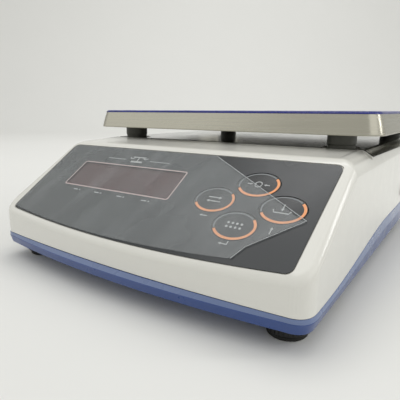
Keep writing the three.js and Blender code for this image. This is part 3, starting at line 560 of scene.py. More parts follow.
@dataclass(frozen=True)
class CircuitBoard:
    """Solder mask over copper tracks, with tinned pads."""

    name: str
    mask: str = "#16452c"
    track: str = "#2b6b44"

    def make(self) -> bpy.types.Material:
        """Write the material."""
        pen = Pen(self.name)
        where = pen.place()
        tracks = pen.node("ShaderNodeTexBrick", Vector=where, Scale=160.0, Mortar_Size=0.06, Bias=0.0,
                          Color1=(0, 0, 0, 1), Color2=(0.15, 0.15, 0.15, 1), Mortar=(1, 1, 1, 1))
        weave = pen.noise(where, 1600, 2)
        colour = pen.mix(tracks.outputs["Color"], tone(self.mask), tone(self.track))
        pads = pen.node("ShaderNodeTexVoronoi", Vector=where, Scale=330.0)
        spots = pen.range(pads.outputs["Distance"], 1, 0, (0.17, 0.2))
        colour = pen.mix(spots, colour, tone("#b9b9ae"))
        normal = pen.bump(tracks.outputs["Fac"], 0.3, 0.0002, pen.bump(weave, 0.08, 0.0002))
        return pen.finish(Base_Color=colour, Roughness=pen.range(weave, 0.28, 0.4), Normal=normal,
                          Specular_IOR_Level=0.6)


@dataclass(frozen=True)
class PrintedFilm:
    """A back-printed polyester sheet: a fine velvet tooth over an even colour."""

    name: str
    colour: str
    roughness: float = 0.42
    haze: float = 0.12

    def make(self) -> bpy.types.Material:
        """Write the material."""
        pen = Pen(self.name)
        where = pen.place()
        cloud = pen.noise(where, 20, 3)
        tooth = pen.noise(where, 2600, 2)
        colour = pen.mix(cloud, tone(self.colour, 1 - self.haze), tone(self.colour, 1 + self.haze))
        gloss = pen.range(cloud, self.roughness - 0.06, self.roughness + 0.08)
        return pen.finish(Base_Color=colour, Roughness=gloss, Normal=pen.bump(tooth, 0.06, 0.0002),
                          Specular_IOR_Level=0.45)


@dataclass(frozen=True)
class FilterPane:
    """Dark red see-through plastic over the digits."""

    name: str
    colour: str
    veil: float = 0.86

    def make(self) -> bpy.types.Material:
        """Write the material."""
        pen = Pen(self.name)
        where = pen.place()
        cloud = pen.noise(where, 60, 3)
        mesh = pen.node("ShaderNodeTexVoronoi", Vector=pen.place(), Scale=900.0)
        colour = pen.mix(pen.range(mesh.outputs["Distance"], 0, 0.5, (0, 0.9)), tone(self.colour, 0.85),
                         tone(self.colour, 1.5))
        return pen.finish(Base_Color=colour, Roughness=pen.range(cloud, 0.1, 0.2), Alpha=self.veil,
                          Normal=pen.bump(pen.noise(where, 300, 2), 0.02, 0.0005), Specular_IOR_Level=0.5)


@dataclass(frozen=True)
class ClearSheet:
    """Thin clear or tinted protective film: streaks of haze and small creases."""

    name: str
    colour: str
    thin: float = 0.05
    thick: float = 0.3
    roughness: float = 0.16
    streak: tuple[float, float, float] = (62, 11, 11)
    turn: float = 0.25

    def make(self) -> bpy.types.Material:
        """Write the material."""
        pen = Pen(self.name)
        streaks = pen.noise(pen.place(self.streak, self.turn), 1.2, 6, 0.6)
        fine = pen.noise(pen.place((240, 40, 40), self.turn), 1, 4, 0.7)
        veil = pen.range(streaks, self.thin, self.thick, (0.46, 0.78))
        edge = pen.node("ShaderNodeLayerWeight", Blend=0.35).outputs["Fresnel"]
        total = pen.node("ShaderNodeMath", operation="MAXIMUM")
        pen.feed(veil, total.inputs[0])
        pen.feed(pen.range(edge, self.thin, self.thick * 1.6, (0.45, 1.0)), total.inputs[1])
        normal = pen.bump(fine, 0.12, 0.0006, pen.bump(streaks, 0.25, 0.003))
        colour = pen.mix(fine, tone(self.colour, 0.9), tone(self.colour, 1.05))
        return pen.finish(Base_Color=colour, Roughness=self.roughness, Alpha=total.outputs[0],
                          Normal=normal, IOR=1.45)


@dataclass(frozen=True)
class Liquid:
    """A clear vial with coloured liquid behind it."""

    name: str
    colour: str

    def make(self) -> bpy.types.Material:
        """Write the material."""
        pen = Pen(self.name)
        cloud = pen.noise(pen.place(), 120, 2)
        colour = pen.mix(cloud, tone(self.colour, 0.8), tone(self.colour, 1.2))
        return pen.finish(Base_Color=colour, Roughness=pen.range(cloud, 0.03, 0.08), Coat_Weight=1.0,
                          Coat_Roughness=0.02, IOR=1.49)


class Finish(Enum):
    """Every finish on the scale.

    A row gives a class its name, its colour and its roughness, and then its other fields in their order.
    """

    CASING = Moulded("casing_white", "#dddcd6", 0.2, 0.04, 0.012, 1500, 0.002, 0.015, 0.5, 0.35)
    BASE = Moulded("base_blue", "#2b4682", 0.32, 0.06, 0.03, 1100, 0.003, 0.07, 0.5, 0.3)
    # painted light: a paler copy of the base blue for the band that faces up to the lights
    BAND = Moulded("base_band", "#66779f", 0.3, 0.06, 0.03, 1100, 0.003, 0.06, 0.5, 0.3)
    # painted shade: a dark sheet for the pan's shade on the white platform
    PLATFORM = Moulded("platform_dark", "#33322f", 0.16, 0.04, 0.01, 900, 0.001, 0.1, 0.6, 0.7)
    POST = Moulded("post_grey", "#51514a", 0.5, 0.06, 0.1, 900)
    BLACK = Moulded("black_plastic", "#181818", 0.45, 0.07, 0.12, 900)
    DIGIT_BODY = Moulded("digit_body", "#2a1718", 0.5, 0.05, 0.1, 900)
    BATTERY = Moulded("battery_case", "#26282c", 0.5, 0.07, 0.15, 700)
    RUBBER = Moulded("black_rubber", "#1d1d1b", 0.78, 0.06, 0.3, 600)
    LEAD = Moulded("lead_sleeve", "#202022", 0.55, 0.06, 0.1, 800)
    PAN = Brushed("pan_steel", "#b3b0a3", 0.24, (7, 7, 620), 0.05)
    ZINC = Cast("zinc_steel", "#a9a99f", 0.36, 0.12, 900)
    SCREW = Cast("screw_steel", "#b5b5ac", 0.3, 0.08, 1400)
    SPIDER = Cast("cast_aluminium", "#9fa1a2", 0.52, 0.4, 800)
    CELL = Brushed("cell_aluminium", "#b7b9bb", 0.34, (300, 10, 300), 0.1)
    BOARD = CircuitBoard("board_green")
    PANEL = PrintedFilm("panel_grey", "#2c2f32", 0.22)
    KEY = PrintedFilm("key_grey", "#222427", 0.24, 0.08)
    WINDOW = FilterPane("window_maroon", "#4a2426")
    ORANGE = PrintedFilm("print_orange", "#f2a46e", 0.4, 0.06)
    PALE = PrintedFilm("print_pale", "#b4b7b8", 0.4, 0.06)
    DIM = PrintedFilm("print_dim", "#7b7f82", 0.4, 0.06)
    PINK = PrintedFilm("print_pink", "#cbb4b2", 0.4, 0.06)
    SEGMENT = PrintedFilm("digit_segment", "#8d6a6b", 0.4, 0.1)
    COVER = ClearSheet("clear_film", "#d5dadc", 0.004, 0.13)
    # the film's folded-back torn edges, made paler as a painted highlight
    HEM = ClearSheet("clear_film_hem", "#e6eaec", 0.2, 0.6, 0.2, (160, 160, 160))
    PAN_FILM = ClearSheet("pan_film_blue", "#262f84", 0.8, 0.95, 0.22, (30, 8, 8), 0.2)
    LABEL = Brushed("label_silver", "#b7b9ba", 0.38, (20, 700, 700), 0.05)
    VIAL = Liquid("vial_liquid", "#a7c94a")

    def material(self) -> bpy.types.Material:
        """This finish's material, written once."""
        name = self.value.name + "_look"
        found = bpy.data.materials.get(name)
        if found is None:
            found = self.value.make()
            found.name = name
        return found

    def paint(self, *pieces: bpy.types.Object) -> None:
        """Put this finish on pieces, replacing what they wear."""
        material = self.material()
        for piece in pieces:
            piece.data.materials.clear()
            piece.data.materials.append(material)


# --------------------------------------------------------------------------------------- places and patterns

BODY_OF = {node: body for body, nodes in frame["record"]["behaviour"]["bodies"].items() for node in nodes}
SLOT_OF = {row["node"]: row["material_slot"] for row in frame["record"]["subparts"]}


def stand_in(piece: bpy.types.Object, *nodes: str) -> bpy.types.Object:
    """Let a piece stand for CAD nodes, on the body of the first."""
    return ride(piece, BODY_OF[nodes[0]], SLOT_OF[nodes[0]], *nodes)


def go_with(piece: bpy.types.Object, node: str, slot: str = "") -> bpy.types.Object:
    """Let an extra piece ride with a CAD node's body."""
    return ride(piece, BODY_OF[node], slot or SLOT_OF[node])


def dress(piece: bpy.types.Object, finish: Finish, node: str, angle: float = 32,
          weigh: bool = True) -> bpy.types.Object:
    """Shade and paint a piece that stands for a CAD node.

    Args:
        piece: The object.
        finish: What it is made of.
        node: The CAD node.
        angle: Edges sharper than this many degrees stay sharp.
        weigh: Whether large flat faces lead the normals.

    Returns:
        The piece.
    """
    smooth(piece, angle, weigh)
    finish.paint(piece)
    return stand_in(piece, node)


def soften(node: str, finish: Finish, width: float = 0.4, segments: int = 2) -> bpy.types.Object:
    """Rebuild a CAD node with clean faces and rounded edges.

    Args:
        node: The CAD node.
        finish: What it is made of.
        width: The width of the rounding, in millimetres; none at 0.
        segments: Faces across the rounding.

    Returns:
        The piece that stands for the node.
    """
    bm = bmesh.new()
    bm.from_mesh(frame["nodes"][node].data)
    bmesh.ops.remove_doubles(bm, verts=bm.verts, dist=2e-6)
    bmesh.ops.dissolve_limit(bm, angle_limit=math.radians(1), verts=bm.verts, edges=bm.edges)
    piece = from_bmesh(node + "_shape", bm)
    if width > 0:
        bevel(piece, width, segments, 35)
    return dress(piece, finish, node)


@dataclass(frozen=True)
class ConsolePlane:
    """The console's slope as a flat frame: x right, y up the slope, z outwards.

    Its origin is the middle of the panel's top edge.
    """

    slope: float
    origin: Vector

    @classmethod
    def measure(cls, edge_gap: float = FIT_GAP, key_proud: float = 0.1) -> "ConsolePlane":
        """Find the slope from a key's travel, and its place from the key and the panel.

        Args:
            edge_gap: The gap between the panel and its recess.
            key_proud: How far a key stands over the slope.

        Returns:
            The plane.
        """
        travel = next(j["axis"] for j in frame["joints"] if j["child"] == "key_zero")
        plane = cls(math.atan2(travel[1], -travel[2]), Vector())
        height = reach("key_zero", plane.out) - key_proud
        along = reach("keypad_panel", plane.up) + edge_gap
        return cls(plane.slope, plane.up * along + plane.out * height)

    @property
    def out(self) -> Vector:
        """The outward normal of the slope."""
        return Vector((0, -math.sin(self.slope), math.cos(self.slope)))

    @property
    def up(self) -> Vector:
        """The direction up the slope."""
        return Vector((0, math.cos(self.slope), math.sin(self.slope)))

    def point(self, x: float, y: float, z: float = 0.0) -> Vector:
        """A place on the console, in millimetres."""
        return self.origin + Vector((x, 0, 0)) + self.up * y + self.out * z

    def flat(self, node: str) -> tuple[float, float]:
        """The middle of a CAD node, in console coordinates."""
        low, high = span(node)
        off = (low + high) / 2 - self.origin
        return off.x, off.dot(self.up)

    def top(self, node: str) -> float:
        """How high a CAD node reaches over the slope, in millimetres."""
        return reach(node, self.out) - self.origin.dot(self.out)

    def foot(self, node: str) -> float:
        """How high over the slope a CAD node starts, in millimetres."""
        return -reach(node, -self.out) - self.origin.dot(self.out)


CONSOLE = ConsolePlane.measure()


class Layout(Enum):
    """How a pattern sets its blocks."""

    ROUND = "round a circle"
    ROW = "along a line"


@dataclass
class Pattern:
    """A Geometry Nodes tree that sets equal small blocks round a circle or along a line."""

    layout: Layout
    count: int
    span: float
    block: tuple[float, float, float]
    finish: Finish

    def tree(self) -> bpy.types.NodeTree:
        """Write the tree, with named inputs for its sizes."""
        made = bpy.data.node_groups.new(f"blocks_{self.layout.name.lower()}", "GeometryNodeTree")
        face = made.interface
        face.new_socket(name="Count", in_out="INPUT", socket_type="NodeSocketInt")
        face.new_socket(name="Span", in_out="INPUT", socket_type="NodeSocketFloat")
        face.new_socket(name="Block", in_out="INPUT", socket_type="NodeSocketVector")
        face.new_socket(name="Geometry", in_out="OUTPUT", socket_type="NodeSocketGeometry")
        nodes, wires = made.nodes, made.links
        source = nodes.new("NodeGroupInput")
        target = nodes.new("NodeGroupOutput")
        cube = nodes.new("GeometryNodeMeshCube")
        copies = nodes.new("GeometryNodeInstanceOnPoints")
        real = nodes.new("GeometryNodeRealizeInstances")
        dress = nodes.new("GeometryNodeSetMaterial")
        dress.inputs["Material"].default_value = self.finish.material()
        wires.new(source.outputs["Block"], cube.inputs["Size"])
        if self.layout is Layout.ROUND:
            points = nodes.new("GeometryNodeMeshCircle")
            wires.new(source.outputs["Count"], points.inputs["Vertices"])
            wires.new(source.outputs["Span"], points.inputs["Radius"])
            where = nodes.new("GeometryNodeInputPosition")
            turn = nodes.new("FunctionNodeAlignRotationToVector")
            turn.axis = "X"
            wires.new(where.outputs[0], turn.inputs["Vector"])
            wires.new(turn.outputs[0], copies.inputs["Rotation"])
        else:
            points = nodes.new("GeometryNodeMeshLine")
            wires.new(source.outputs["Count"], points.inputs["Count"])
            ends = nodes.new("ShaderNodeCombineXYZ")
            wires.new(source.outputs["Span"], ends.inputs["X"])
            wires.new(ends.outputs[0], points.inputs["Offset"])
        wires.new(points.outputs["Mesh"], copies.inputs["Points"])
        wires.new(cube.outputs["Mesh"], copies.inputs["Instance"])
        wires.new(copies.outputs[0], real.inputs[0])
        wires.new(real.outputs[0], dress.inputs["Geometry"])
        wires.new(dress.outputs["Geometry"], target.inputs["Geometry"])
        return made

    def make(self, name: str, place: Matrix) -> bpy.types.Object:
        """Run the tree and move its mesh into place.

        Args:
            name: The piece's name.
            place: Where the pattern's own frame stands, in metres.

        Returns:
            A plain mesh object.
        """
        piece = link(name, bpy.data.meshes.new(name))
        tree = self.tree()
        modifier = piece.modifiers.new("blocks", "NODES")
        modifier.node_group = tree
        values = {"Count": self.count, "Span": self.span * MM, "Block": [v * MM for v in self.block]}
        for item in tree.interface.items_tree:
            if item.in_out == "INPUT" and item.name in values:
                modifier[item.identifier] = values[item.name]
        settle(piece)
        piece.data.transform(place)
        self.finish.paint(piece)
        return piece


# ---------------------------------------------------------------------------------------------------- casing


@dataclass
class CasingPlan:
    """The casing's outline from above: a bowed front, sides that taper, round corners."""

    low: Vector
    high: Vector
    bow: float
    taper: float = 4.0
    front_corner: float = 12.0
    back_corner: float = 14.0
    rise_start: float = 31.0
    rise_run: float = 150.0
    rise: float = 11.0
    least_corner: float = 1.0
    front_steps: int = 30

    def loop(self, tuck: float = 0.0, setback: float = 0.0, bow: float | None = None,
             sides: int = 1, steps: int = 10) -> Loop:
        """The outline, drawn in from the sides and the nose.

        Args:
            tuck: How far the sides and the back come in.
            setback: How far the nose comes back.
            bow: How far the middle of the front stands ahead of its corners, if not the plan's own.
            sides: Pieces along each side wall.
            steps: Pieces round each corner.

        Returns:
            Anticlockwise points.
        """
        curve = self.bow if bow is None else bow
        nose = self.low.y + setback
        corner = nose + curve
        front = self.high.x - tuck
        back = self.high.x - self.taper - tuck
        wall = self.high.y - tuck
        near = max(self.front_corner - tuck, self.least_corner)
        far = max(self.back_corner - tuck, self.least_corner)
        points: Loop = [(-front + near, corner)]
        points += curve_points(points[-1], (0, 2 * nose - corner), (front - near, corner), self.front_steps)
        points += curve_points(points[-1], (front, corner), (front, corner + near), steps)
        points += line_points(points[-1], (back, wall - far), sides)
        points += curve_points((back, wall - far), (back, wall), (back - far, wall), steps)
        points.append((-back + far, wall))
        points += curve_points(points[-1], (-back, wall), (-back, wall - far), steps)
        points += line_points(points[-1], (-front, corner + near), sides)
        points += curve_points((-front, corner + near), (-front, corner), (-front + near, corner), steps)[:-1]
        return points

    def climb(self, y: float, nose: float) -> float:
        """The smooth share, 0 to 1, of the parting line's climb at a distance along the side."""
        t = min(max((y - nose - self.rise_start) / self.rise_run, 0.0), 1.0)
        return t * t * (3 - 2 * t)


def soft_min(first: float, second: float, reach_mm: float) -> float:
    """The lower of two heights, with a soft blend where they meet."""
    share = max(reach_mm - abs(first - second), 0.0) / reach_mm
    return min(first, second) - share * share * reach_mm / 4


@dataclass
class TopCasing:
    """The white moulded shell with the sloped console, the ridge and the platform."""

    wall: float = 2.5
    break_back: float = 77.0
    strip_fall: float = 2.3
    ridge_back: float = 115.3
    ridge_lift: float = 0.6
    groove: tuple[float, float] = (5.0, 5.0)
    groove_round: float = 0.6
    ridge_round: float = 1.3
    platform_round: float = 0.8
    shoulder_inset: float = 10.0
    shoulder: tuple[float, float] = (8.0, 7.0)
    recess: float = 0.9
    post_gap: float = 2.5
    level_hole: float = 7.3
    countersink: float = 0.5
    rounding: float = 3.8
    round_steps: int = 9
    cover_half: float = 115.5
    fold_blend: float = 2.2
    shoulder_blend: float = 3.4
    fold_cell: float = 0.8
    shoulder_cell: float = 0.9
    cells: int = 5
    roof_cell: float = 30.0
    slant_skin: float = 1.15
    stage_gap: float = 100.0
    past: float = 10.0
    sharp: float = 34.0
    plan: CasingPlan = field(init=False)

    def __post_init__(self) -> None:
        """Take the outer sizes from the CAD shell."""
        low, high = span("top_casing")
        self.plan = CasingPlan(low, high, 4.8, front_corner=11.4, back_corner=13.4)
        self.nose = span("bottom_casing")[0].y
        self.half = span("bottom_casing")[1].x
        self.ridge_z = high.z
        self.platform_z = high.z - self.ridge_lift
        self.ridge_y = self.nose + self.ridge_back

    def parting(self, y: float) -> float:
        """Height of the parting line at a distance along the side."""
        return self.plan.low.z + self.plan.rise * self.plan.climb(y, self.nose)

    def surface(self, x: float, y: float) -> float:
        """Height of the casing's skin over a spot: slope, strip, shoulders and roof, softly blended."""
        back = y - self.nose - self.break_back
        fold = self.ridge_z - self.strip_fall
        strip = fold + back * self.strip_fall / (self.ridge_back - self.break_back)
        height = soft_min(fold + back * math.tan(CONSOLE.slope), min(strip, self.ridge_z), self.fold_blend)
        fall = (abs(x) - self.half + self.shoulder_inset) * self.shoulder[1] / self.shoulder[0]
        return soft_min(height, self.platform_z - fall, self.shoulder_blend)

    def shoulder_stops(self) -> list[float]:
        """Where a grid is cut, to both sides, to follow the folds of the shoulders."""
        edge = self.half - self.shoulder_inset
        steps = range(-self.cells, self.cells + 1)
        return [side * (edge + step * self.shoulder_cell) for side in (-1, 1) for step in steps]

    def solid(self, name: str, skin: float) -> bpy.types.Object:
        """The casing as a closed solid with a rounded rim.

        Its rings are stacked a wide gap apart and cut into a grid; each point then gets its true height.

        Args:
            name: The object's name.
            skin: How far every wall is sunk, in millimetres.

        Returns:
            The new object.
        """
        radius = max(self.rounding - skin, 1.0)
        quarter = math.pi / 2
        turns = [quarter * i / self.round_steps for i in range(1, self.round_steps + 1)]
        stages = [(0.0, 0.0), (0.0, 1.0), *[(radius * (1 - math.cos(a)), 1 + a / quarter) for a in turns]]
        bm = stack([lifted(self.plan.loop(skin + inset, skin + inset), self.stage_gap * stage)
                    for inset, stage in stages])
        fold = self.nose + self.break_back
        grid(bm, X_WAY, self.shoulder_stops())
        grid(bm, Y_WAY, [fold + step * self.fold_cell for step in range(-self.cells, self.cells + 1)])
        grid(bm, Y_WAY, [self.ridge_y, self.ridge_y + self.roof_cell])
        for vert in bm.verts:
            x, y, stage = vert.co.x / MM, vert.co.y / MM, vert.co.z / MM / self.stage_gap
            top = self.surface(x, y) - skin * self.slant_skin
            turn = (max(stage, 1.0) - 1) * quarter
            vert.co.z = 0 if stage < 0.5 else (top - radius * (1 - math.sin(turn))) * MM
        return from_bmesh(name, bm)

    def shell(self) -> bpy.types.Object:
        """The rounded outer body, hollowed and cut along the parting line."""
        piece = self.solid("top_casing_shell", 0)
        combine(piece, self.parting_tool())
        combine(piece, self.groove_tool())
        cavity = self.solid("cavity", self.wall)
        combine(cavity, self.groove_tool(self.wall))
        combine(piece, cavity)
        return piece

    def parting_tool(self) -> bpy.types.Object:
        """A block up to the parting line, wider than the casing."""
        wide = self.half + self.past
        front, back = self.nose - self.past, self.plan.high.y + self.past
        ys = [front, *[self.nose + 30 + 4.0 * i for i in range(40)], back]
        ends = [[(x, y, self.parting(y)) for y in ys] for x in (-wide, wide)]
        rings = [[*line, (line[0][0], back, -10), (line[0][0], front, -10)] for line in ends]
        return closed("parting", rings)

    def groove_tool(self, skin: float = 0.0) -> bpy.types.Object:
        """What is cut away behind the ridge: the groove, and the step down to the platform."""
        wide = self.half + self.past
        back = self.plan.high.y + self.past
        width, depth = self.groove
        level = self.platform_z - skin
        floor = self.platform_z - depth - skin
        front, rear = self.ridge_y - skin, self.ridge_y + width + skin
        lip, foot, edge = self.ridge_round, self.groove_round, self.platform_round
        outline = [(back, level + 12), (front - lip, level + 12), (front - lip, self.ridge_z + 0.02 - skin)]
        outline += arc_points((front - lip, self.ridge_z - lip - skin), lip, 90, 0, 5)[1:]
        outline += [(front, floor + foot), (front + foot, floor), (rear - foot, floor), (rear, floor + foot)]
        outline += [(rear, level - edge), (rear + edge, level), (back, level)]
        return closed("groove", [[(x, y, z) for y, z in outline] for x in (-wide, wide)])

    def openings(self) -> bpy.types.Object:
        """Cutters for the posts, the level, the window, the keys and the socket."""
        tools = []
        for corner in CORNERS:
            post = Extent.of("pan_post_" + corner)
            tools.append(self.drill(post.half + self.post_gap, post.spot, post.low - 1.4))
        level = Extent.of("bubble_level")
        tools.append(self.drill(self.level_hole, level.spot, level.low - 2))
        half = Extent.of("display_window").half + FIT_GAP
        outlines = [round_box(CONSOLE.flat("display_window"), half, half * WINDOW_SHARE, 1)]
        outlines += [oval(CONSOLE.flat("key_" + key), FIT_GAP) for key in KEYS]
        tools += [prism("hole", outline, CONSOLE.point, -8, 6) for outline in outlines]
        low, high = span("charge_socket")
        middle = (low + high) / 2
        radius, long = (high.z - low.z) / 2 + FIT_GAP, 12
        socket = lathe("socket_hole", [(0, -long), (radius, -long), (radius, long), (0, long)], (0, 0), 40)
        socket.data.transform(move(high.x, middle.y, middle.z) @ Matrix.Rotation(math.pi / 2, 4, "Y"))
        return merge("openings", [*tools, socket])

    def drill(self, radius: float, centre: Point, low: float) -> bpy.types.Object:
        """An upright round cutter with a countersunk mouth at the platform."""
        mouth, rim = self.platform_z, radius + self.countersink
        profile = [(0, low), (radius, low), (radius, mouth - self.countersink), (rim, mouth)]
        profile += [(rim, mouth + 9), (0, mouth + 9)]
        return lathe("drill", profile, centre, 56)

    def make(self) -> None:
        """Build the casing and dress it."""
        piece = self.shell()
        combine(piece, prism("recess", panel_outline(FIT_GAP), CONSOLE.point, -self.recess, 8))
        combine(piece, self.openings())
        dress(piece, Finish.CASING, "top_casing", self.sharp)
        # the platform's shade under the pan, painted as a dark sheet
        self.platform_cover()

    def platform_cover(self, lift: float = 0.1, thick: float = 0.3) -> None:
        """A dark glossy sheet on the platform and its shoulders, behind the groove: painted shade laid on the
        white casing where the pan shades it.
        """
        outline = round_rect(-self.cover_half, self.cover_half, self.ridge_y + self.groove[0] + 0.9,
                             self.plan.high.y - 4.5, 4)
        bm = stack([lifted(outline, share) for share in (0, 1)])
        grid(bm, X_WAY, self.shoulder_stops())
        for vert in bm.verts:
            x, y, share = vert.co / MM
            height = min(self.surface(x, y), self.platform_z)
            vert.co.z = (height + lift + share * thick) * MM
        piece = from_bmesh("platform_sheet", bm)
        combine(piece, self.openings())
        smooth(piece, self.sharp)
        Finish.PLATFORM.paint(piece)
        go_with(piece, "top_casing", SLOT_OF["pan_post_front_left"])


def oval(spot: Point, grow: float = 0.0, share: float = 1.0, steps: int = 64) -> Loop:
    """The outline of an oval key round a spot on the console."""
    half = Extent.of("key_zero").half
    long, short = half * share + grow, half * KEY_SHARE * share + grow
    turns = [math.tau * i / steps for i in range(steps)]
    return [(spot[0] + long * math.cos(a), spot[1] + short * math.sin(a)) for a in turns]


def panel_outline(grow: float = 0.0, length: float = 76.0, bow: float = 5.8, corner: float = 5.0,
                  foot_share: float = 0.98) -> Loop:
    """The panel's outline on the console, with a bowed bottom edge.

    Args:
        grow: How much larger than the panel's nominal size it is.
        length: Down the slope, at the corners.
        bow: How much further the bottom edge runs in the middle.
        corner: The reach of each round corner.
        foot_share: The foot's width over the top's width.

    Returns:
        Anticlockwise points in console coordinates.
    """
    half = span("keypad_panel")[1].x + FIT_GAP
    top = half + grow
    foot = half * foot_share + grow
    low, high = -length - grow, grow
    lean = (top - foot) * corner / length
    points: Loop = [(-foot + corner, low)]
    points += curve_points(points[-1], (0, low - 2 * bow), (foot - corner, low), 40)
    points += curve_points(points[-1], (foot, low), (foot + lean, low + corner), 8)
    points.append((top - lean, high - corner))
    points += curve_points(points[-1], (top, high), (top - corner, high), 8)
    points.append((-top + corner, high))
    points += curve_points(points[-1], (-top, high), (-top + lean, high - corner), 8)
    points.append((-foot - lean, low + corner))
    points += curve_points(points[-1], (-foot, low), (-foot + corner, low), 8)[:-1]
    return points


@dataclass(frozen=True)
class Course:
    """One ring of the base's wall: how far it is drawn in, the bow of its front, and its height."""

    tuck: float
    setback: float
    bow: float
    height: Callable[[float], float]

    def ring(self, plan: CasingPlan, out: float = 0.0, lift: float = 0.0, sides: int = 40) -> Ring:
        """This course's points on a plan.

        Args:
            plan: The base's outline from above.
            out: How far the points move outwards.
            lift: How far they are raised.
            sides: Pieces along each side wall.

        Returns:
            Anticlockwise points.
        """
        loop = plan.loop(self.tuck - out, self.setback - out, self.bow, sides)
        return [(x, y, self.height(y) + lift) for x, y in loop]


@dataclass
class BaseCasing:
    """The blue base: an upright wall, a crease, and a leaning band up to the parting line."""

    floor: float = 2.5
    crease_front: float = 5.4
    crease_climb: float = 5.8
    line_gap: float = 0.3
    door_gap: float = 0.5
    switch_lap: float = 1.6
    foot_boss: tuple[float, float, float] = (7.2, 6.5, 13)
    screw_boss: tuple[float, float, float] = (5.9, 5.6, 9)
    foot_bore: float = 4.3
    screw_bore: tuple[float, float] = (3.7, 2.0)
    plan: CasingPlan = field(init=False)

    def __post_init__(self) -> None:
        """Take the outer sizes from the CAD shell."""
        low, high = span("bottom_casing")
        self.plan = CasingPlan(low, high, 7.2)
        self.top_front = span("top_casing")[0].z - self.line_gap

    def rim(self, y: float, drop: float = 0.0) -> float:
        """Height of the base's upper edge at a distance along the side."""
        return self.top_front + self.plan.rise * self.plan.climb(y, self.plan.low.y) - drop

    def crease(self, y: float, lift: float = 0.0) -> float:
        """Height of the crease between the wall and the band."""
        climb = self.crease_climb * self.plan.climb(y, self.plan.low.y)
        return self.plan.low.z + self.crease_front + climb + lift

    def leaning(self, lift: float = 0.0) -> list[Course]:
        """The courses of the leaning band, with its upper edge raised by a lift."""
        return [
            Course(0.08, 0.3, 7.2, lambda y: self.crease(y, 0.35)),
            Course(0.42, 1.9, 5.6, lambda y: self.rim(y, 0.7)),
            Course(0.52, 2.15, 5.4, lambda y: self.rim(y, 0.25)),
            Course(0.8, 2.5, 5.2, lambda y: self.rim(y, -lift)),
        ]

    def wall(self) -> list[Course]:
        """The courses from the underside, up the outside, over the rim and down to the floor."""
        low = self.plan.low.z
        return [
            Course(4.0, 4.0, 7.2, lambda y: low),
            Course(1.9, 1.9, 7.2, lambda y: low),
            Course(1.4, 1.4, 7.2, lambda y: low + 0.3),
            Course(1.2, 1.15, 7.2, lambda y: low + 0.9),
            Course(0.15, 0.15, 7.2, lambda y: self.crease(y, -0.5)),
            Course(0.0, 0.0, 7.2, self.crease),
            *self.leaning(),
            Course(2.6, 5.2, 5.0, self.rim),
            Course(2.9, 5.6, 5.0, lambda y: self.rim(y, 1.0)),
            Course(2.9, 5.6, 5.0, lambda y: low + self.floor + 1),
            Course(3.6, 6.4, 5.0, lambda y: low + self.floor),
        ]

    def band(self, skin: float = 0.16, crease_skin: float = 0.06, overlap: float = 0.04) -> None:
        """The leaning band over the crease, as a thin sheet on the base, made paler than the base as painted light
        where it faces up.

        Args:
            skin: How far the sheet stands out.
            crease_skin: How far it stands out at the crease.
            overlap: How far it stands over the rim.
        """
        courses = self.leaning(overlap)
        skins = [crease_skin, skin, skin, skin]
        outer = [course.ring(self.plan, out) for out, course in zip(skins, courses)]
        inner = [course.ring(self.plan, -0.1, -0.02) for course in reversed(courses)]
        bm = stack([*outer, *inner, outer[0]], (False, False))
        bmesh.ops.remove_doubles(bm, verts=bm.verts, dist=1e-7)
        piece = from_bmesh("bottom_casing_band", bm)
        smooth(piece, TURNED)
        Finish.BAND.paint(piece)
        go_with(piece, "bottom_casing")

    def boss(self, spot: Point, wide: float, narrow: float, tall: float) -> bpy.types.Object:
        """A tapered round boss on the floor."""
        low = self.plan.low.z
        profile = [(0, low + 1), (wide, low + 1), (narrow, low + tall), (0, low + tall)]
        return lathe("boss", profile, spot, 32)

    def make(self) -> None:
        """Build the base with its bosses and openings, and dress it."""
        piece = loft("bottom_casing_shell", [course.ring(self.plan) for course in self.wall()])
        seat = self.plan.low.z + 3
        bore, (head, shank), top = self.foot_bore, self.screw_bore, 60
        bosses, holes = [], []
        for corner in CORNERS:
            foot, screw = Extent.of("foot_" + corner).spot, Extent.of("casing_screw_" + corner).spot
            bosses += [self.boss(foot, *self.foot_boss), self.boss(screw, *self.screw_boss)]
            stepped = [(0, 0), (head, 0), (head, seat), (shank, seat), (shank, top), (0, top)]
            holes.append(lathe("bore", [(0, 0), (bore, 0), (bore, top), (0, top)], foot, 32))
            holes.append(lathe("bore", stepped, screw, 32))
        door = node_rect("battery_door", -self.door_gap, 2.5)
        mouth = node_rect("power_switch_frame", self.switch_lap, 0.8)
        holes += [prism("opening", outline, upright, 0, 16) for outline in (door, mouth)]
        combine(piece, merge("bosses", bosses), "UNION")
        combine(piece, merge("holes", holes))
        dress(piece, Finish.BASE, "bottom_casing", 24)
        # the band, painted paler as painted light
        self.band()
        self.battery_door()

    def battery_door(self) -> None:
        """The door in the base, with a finger dip and grip ribs."""
        low, high = span("battery_door")
        steps = ((0.8, low.z), (0.2, low.z + 0.15), (0, low.z + 0.6), (0, high.z - 0.3), (0.4, high.z))
        rings = [lifted(node_rect("battery_door", inset, 2.2 - inset / 2), z) for inset, z in steps]
        piece = loft("battery_door_panel", rings)
        middle = (low.x + high.x) / 2
        dip = [(0, low.z - 3), (8.5, low.z - 3), (7.5, low.z + 0.7), (6, low.z + 1.1), (0, low.z + 1.2)]
        combine(piece, lathe("dip", dip, (middle, low.y + 16), 40))
        dress(piece, Finish.BASE, "battery_door")
        place = move(middle - 7, low.y + 30, low.z - 0.1)
        ribs = Pattern(Layout.ROW, 8, 2.0, (0.9, 18, 0.5), Finish.BASE).make("battery_door_ribs", place)
        go_with(ribs, "battery_door")


# --------------------------------------------------------------------------------------- pan and its support


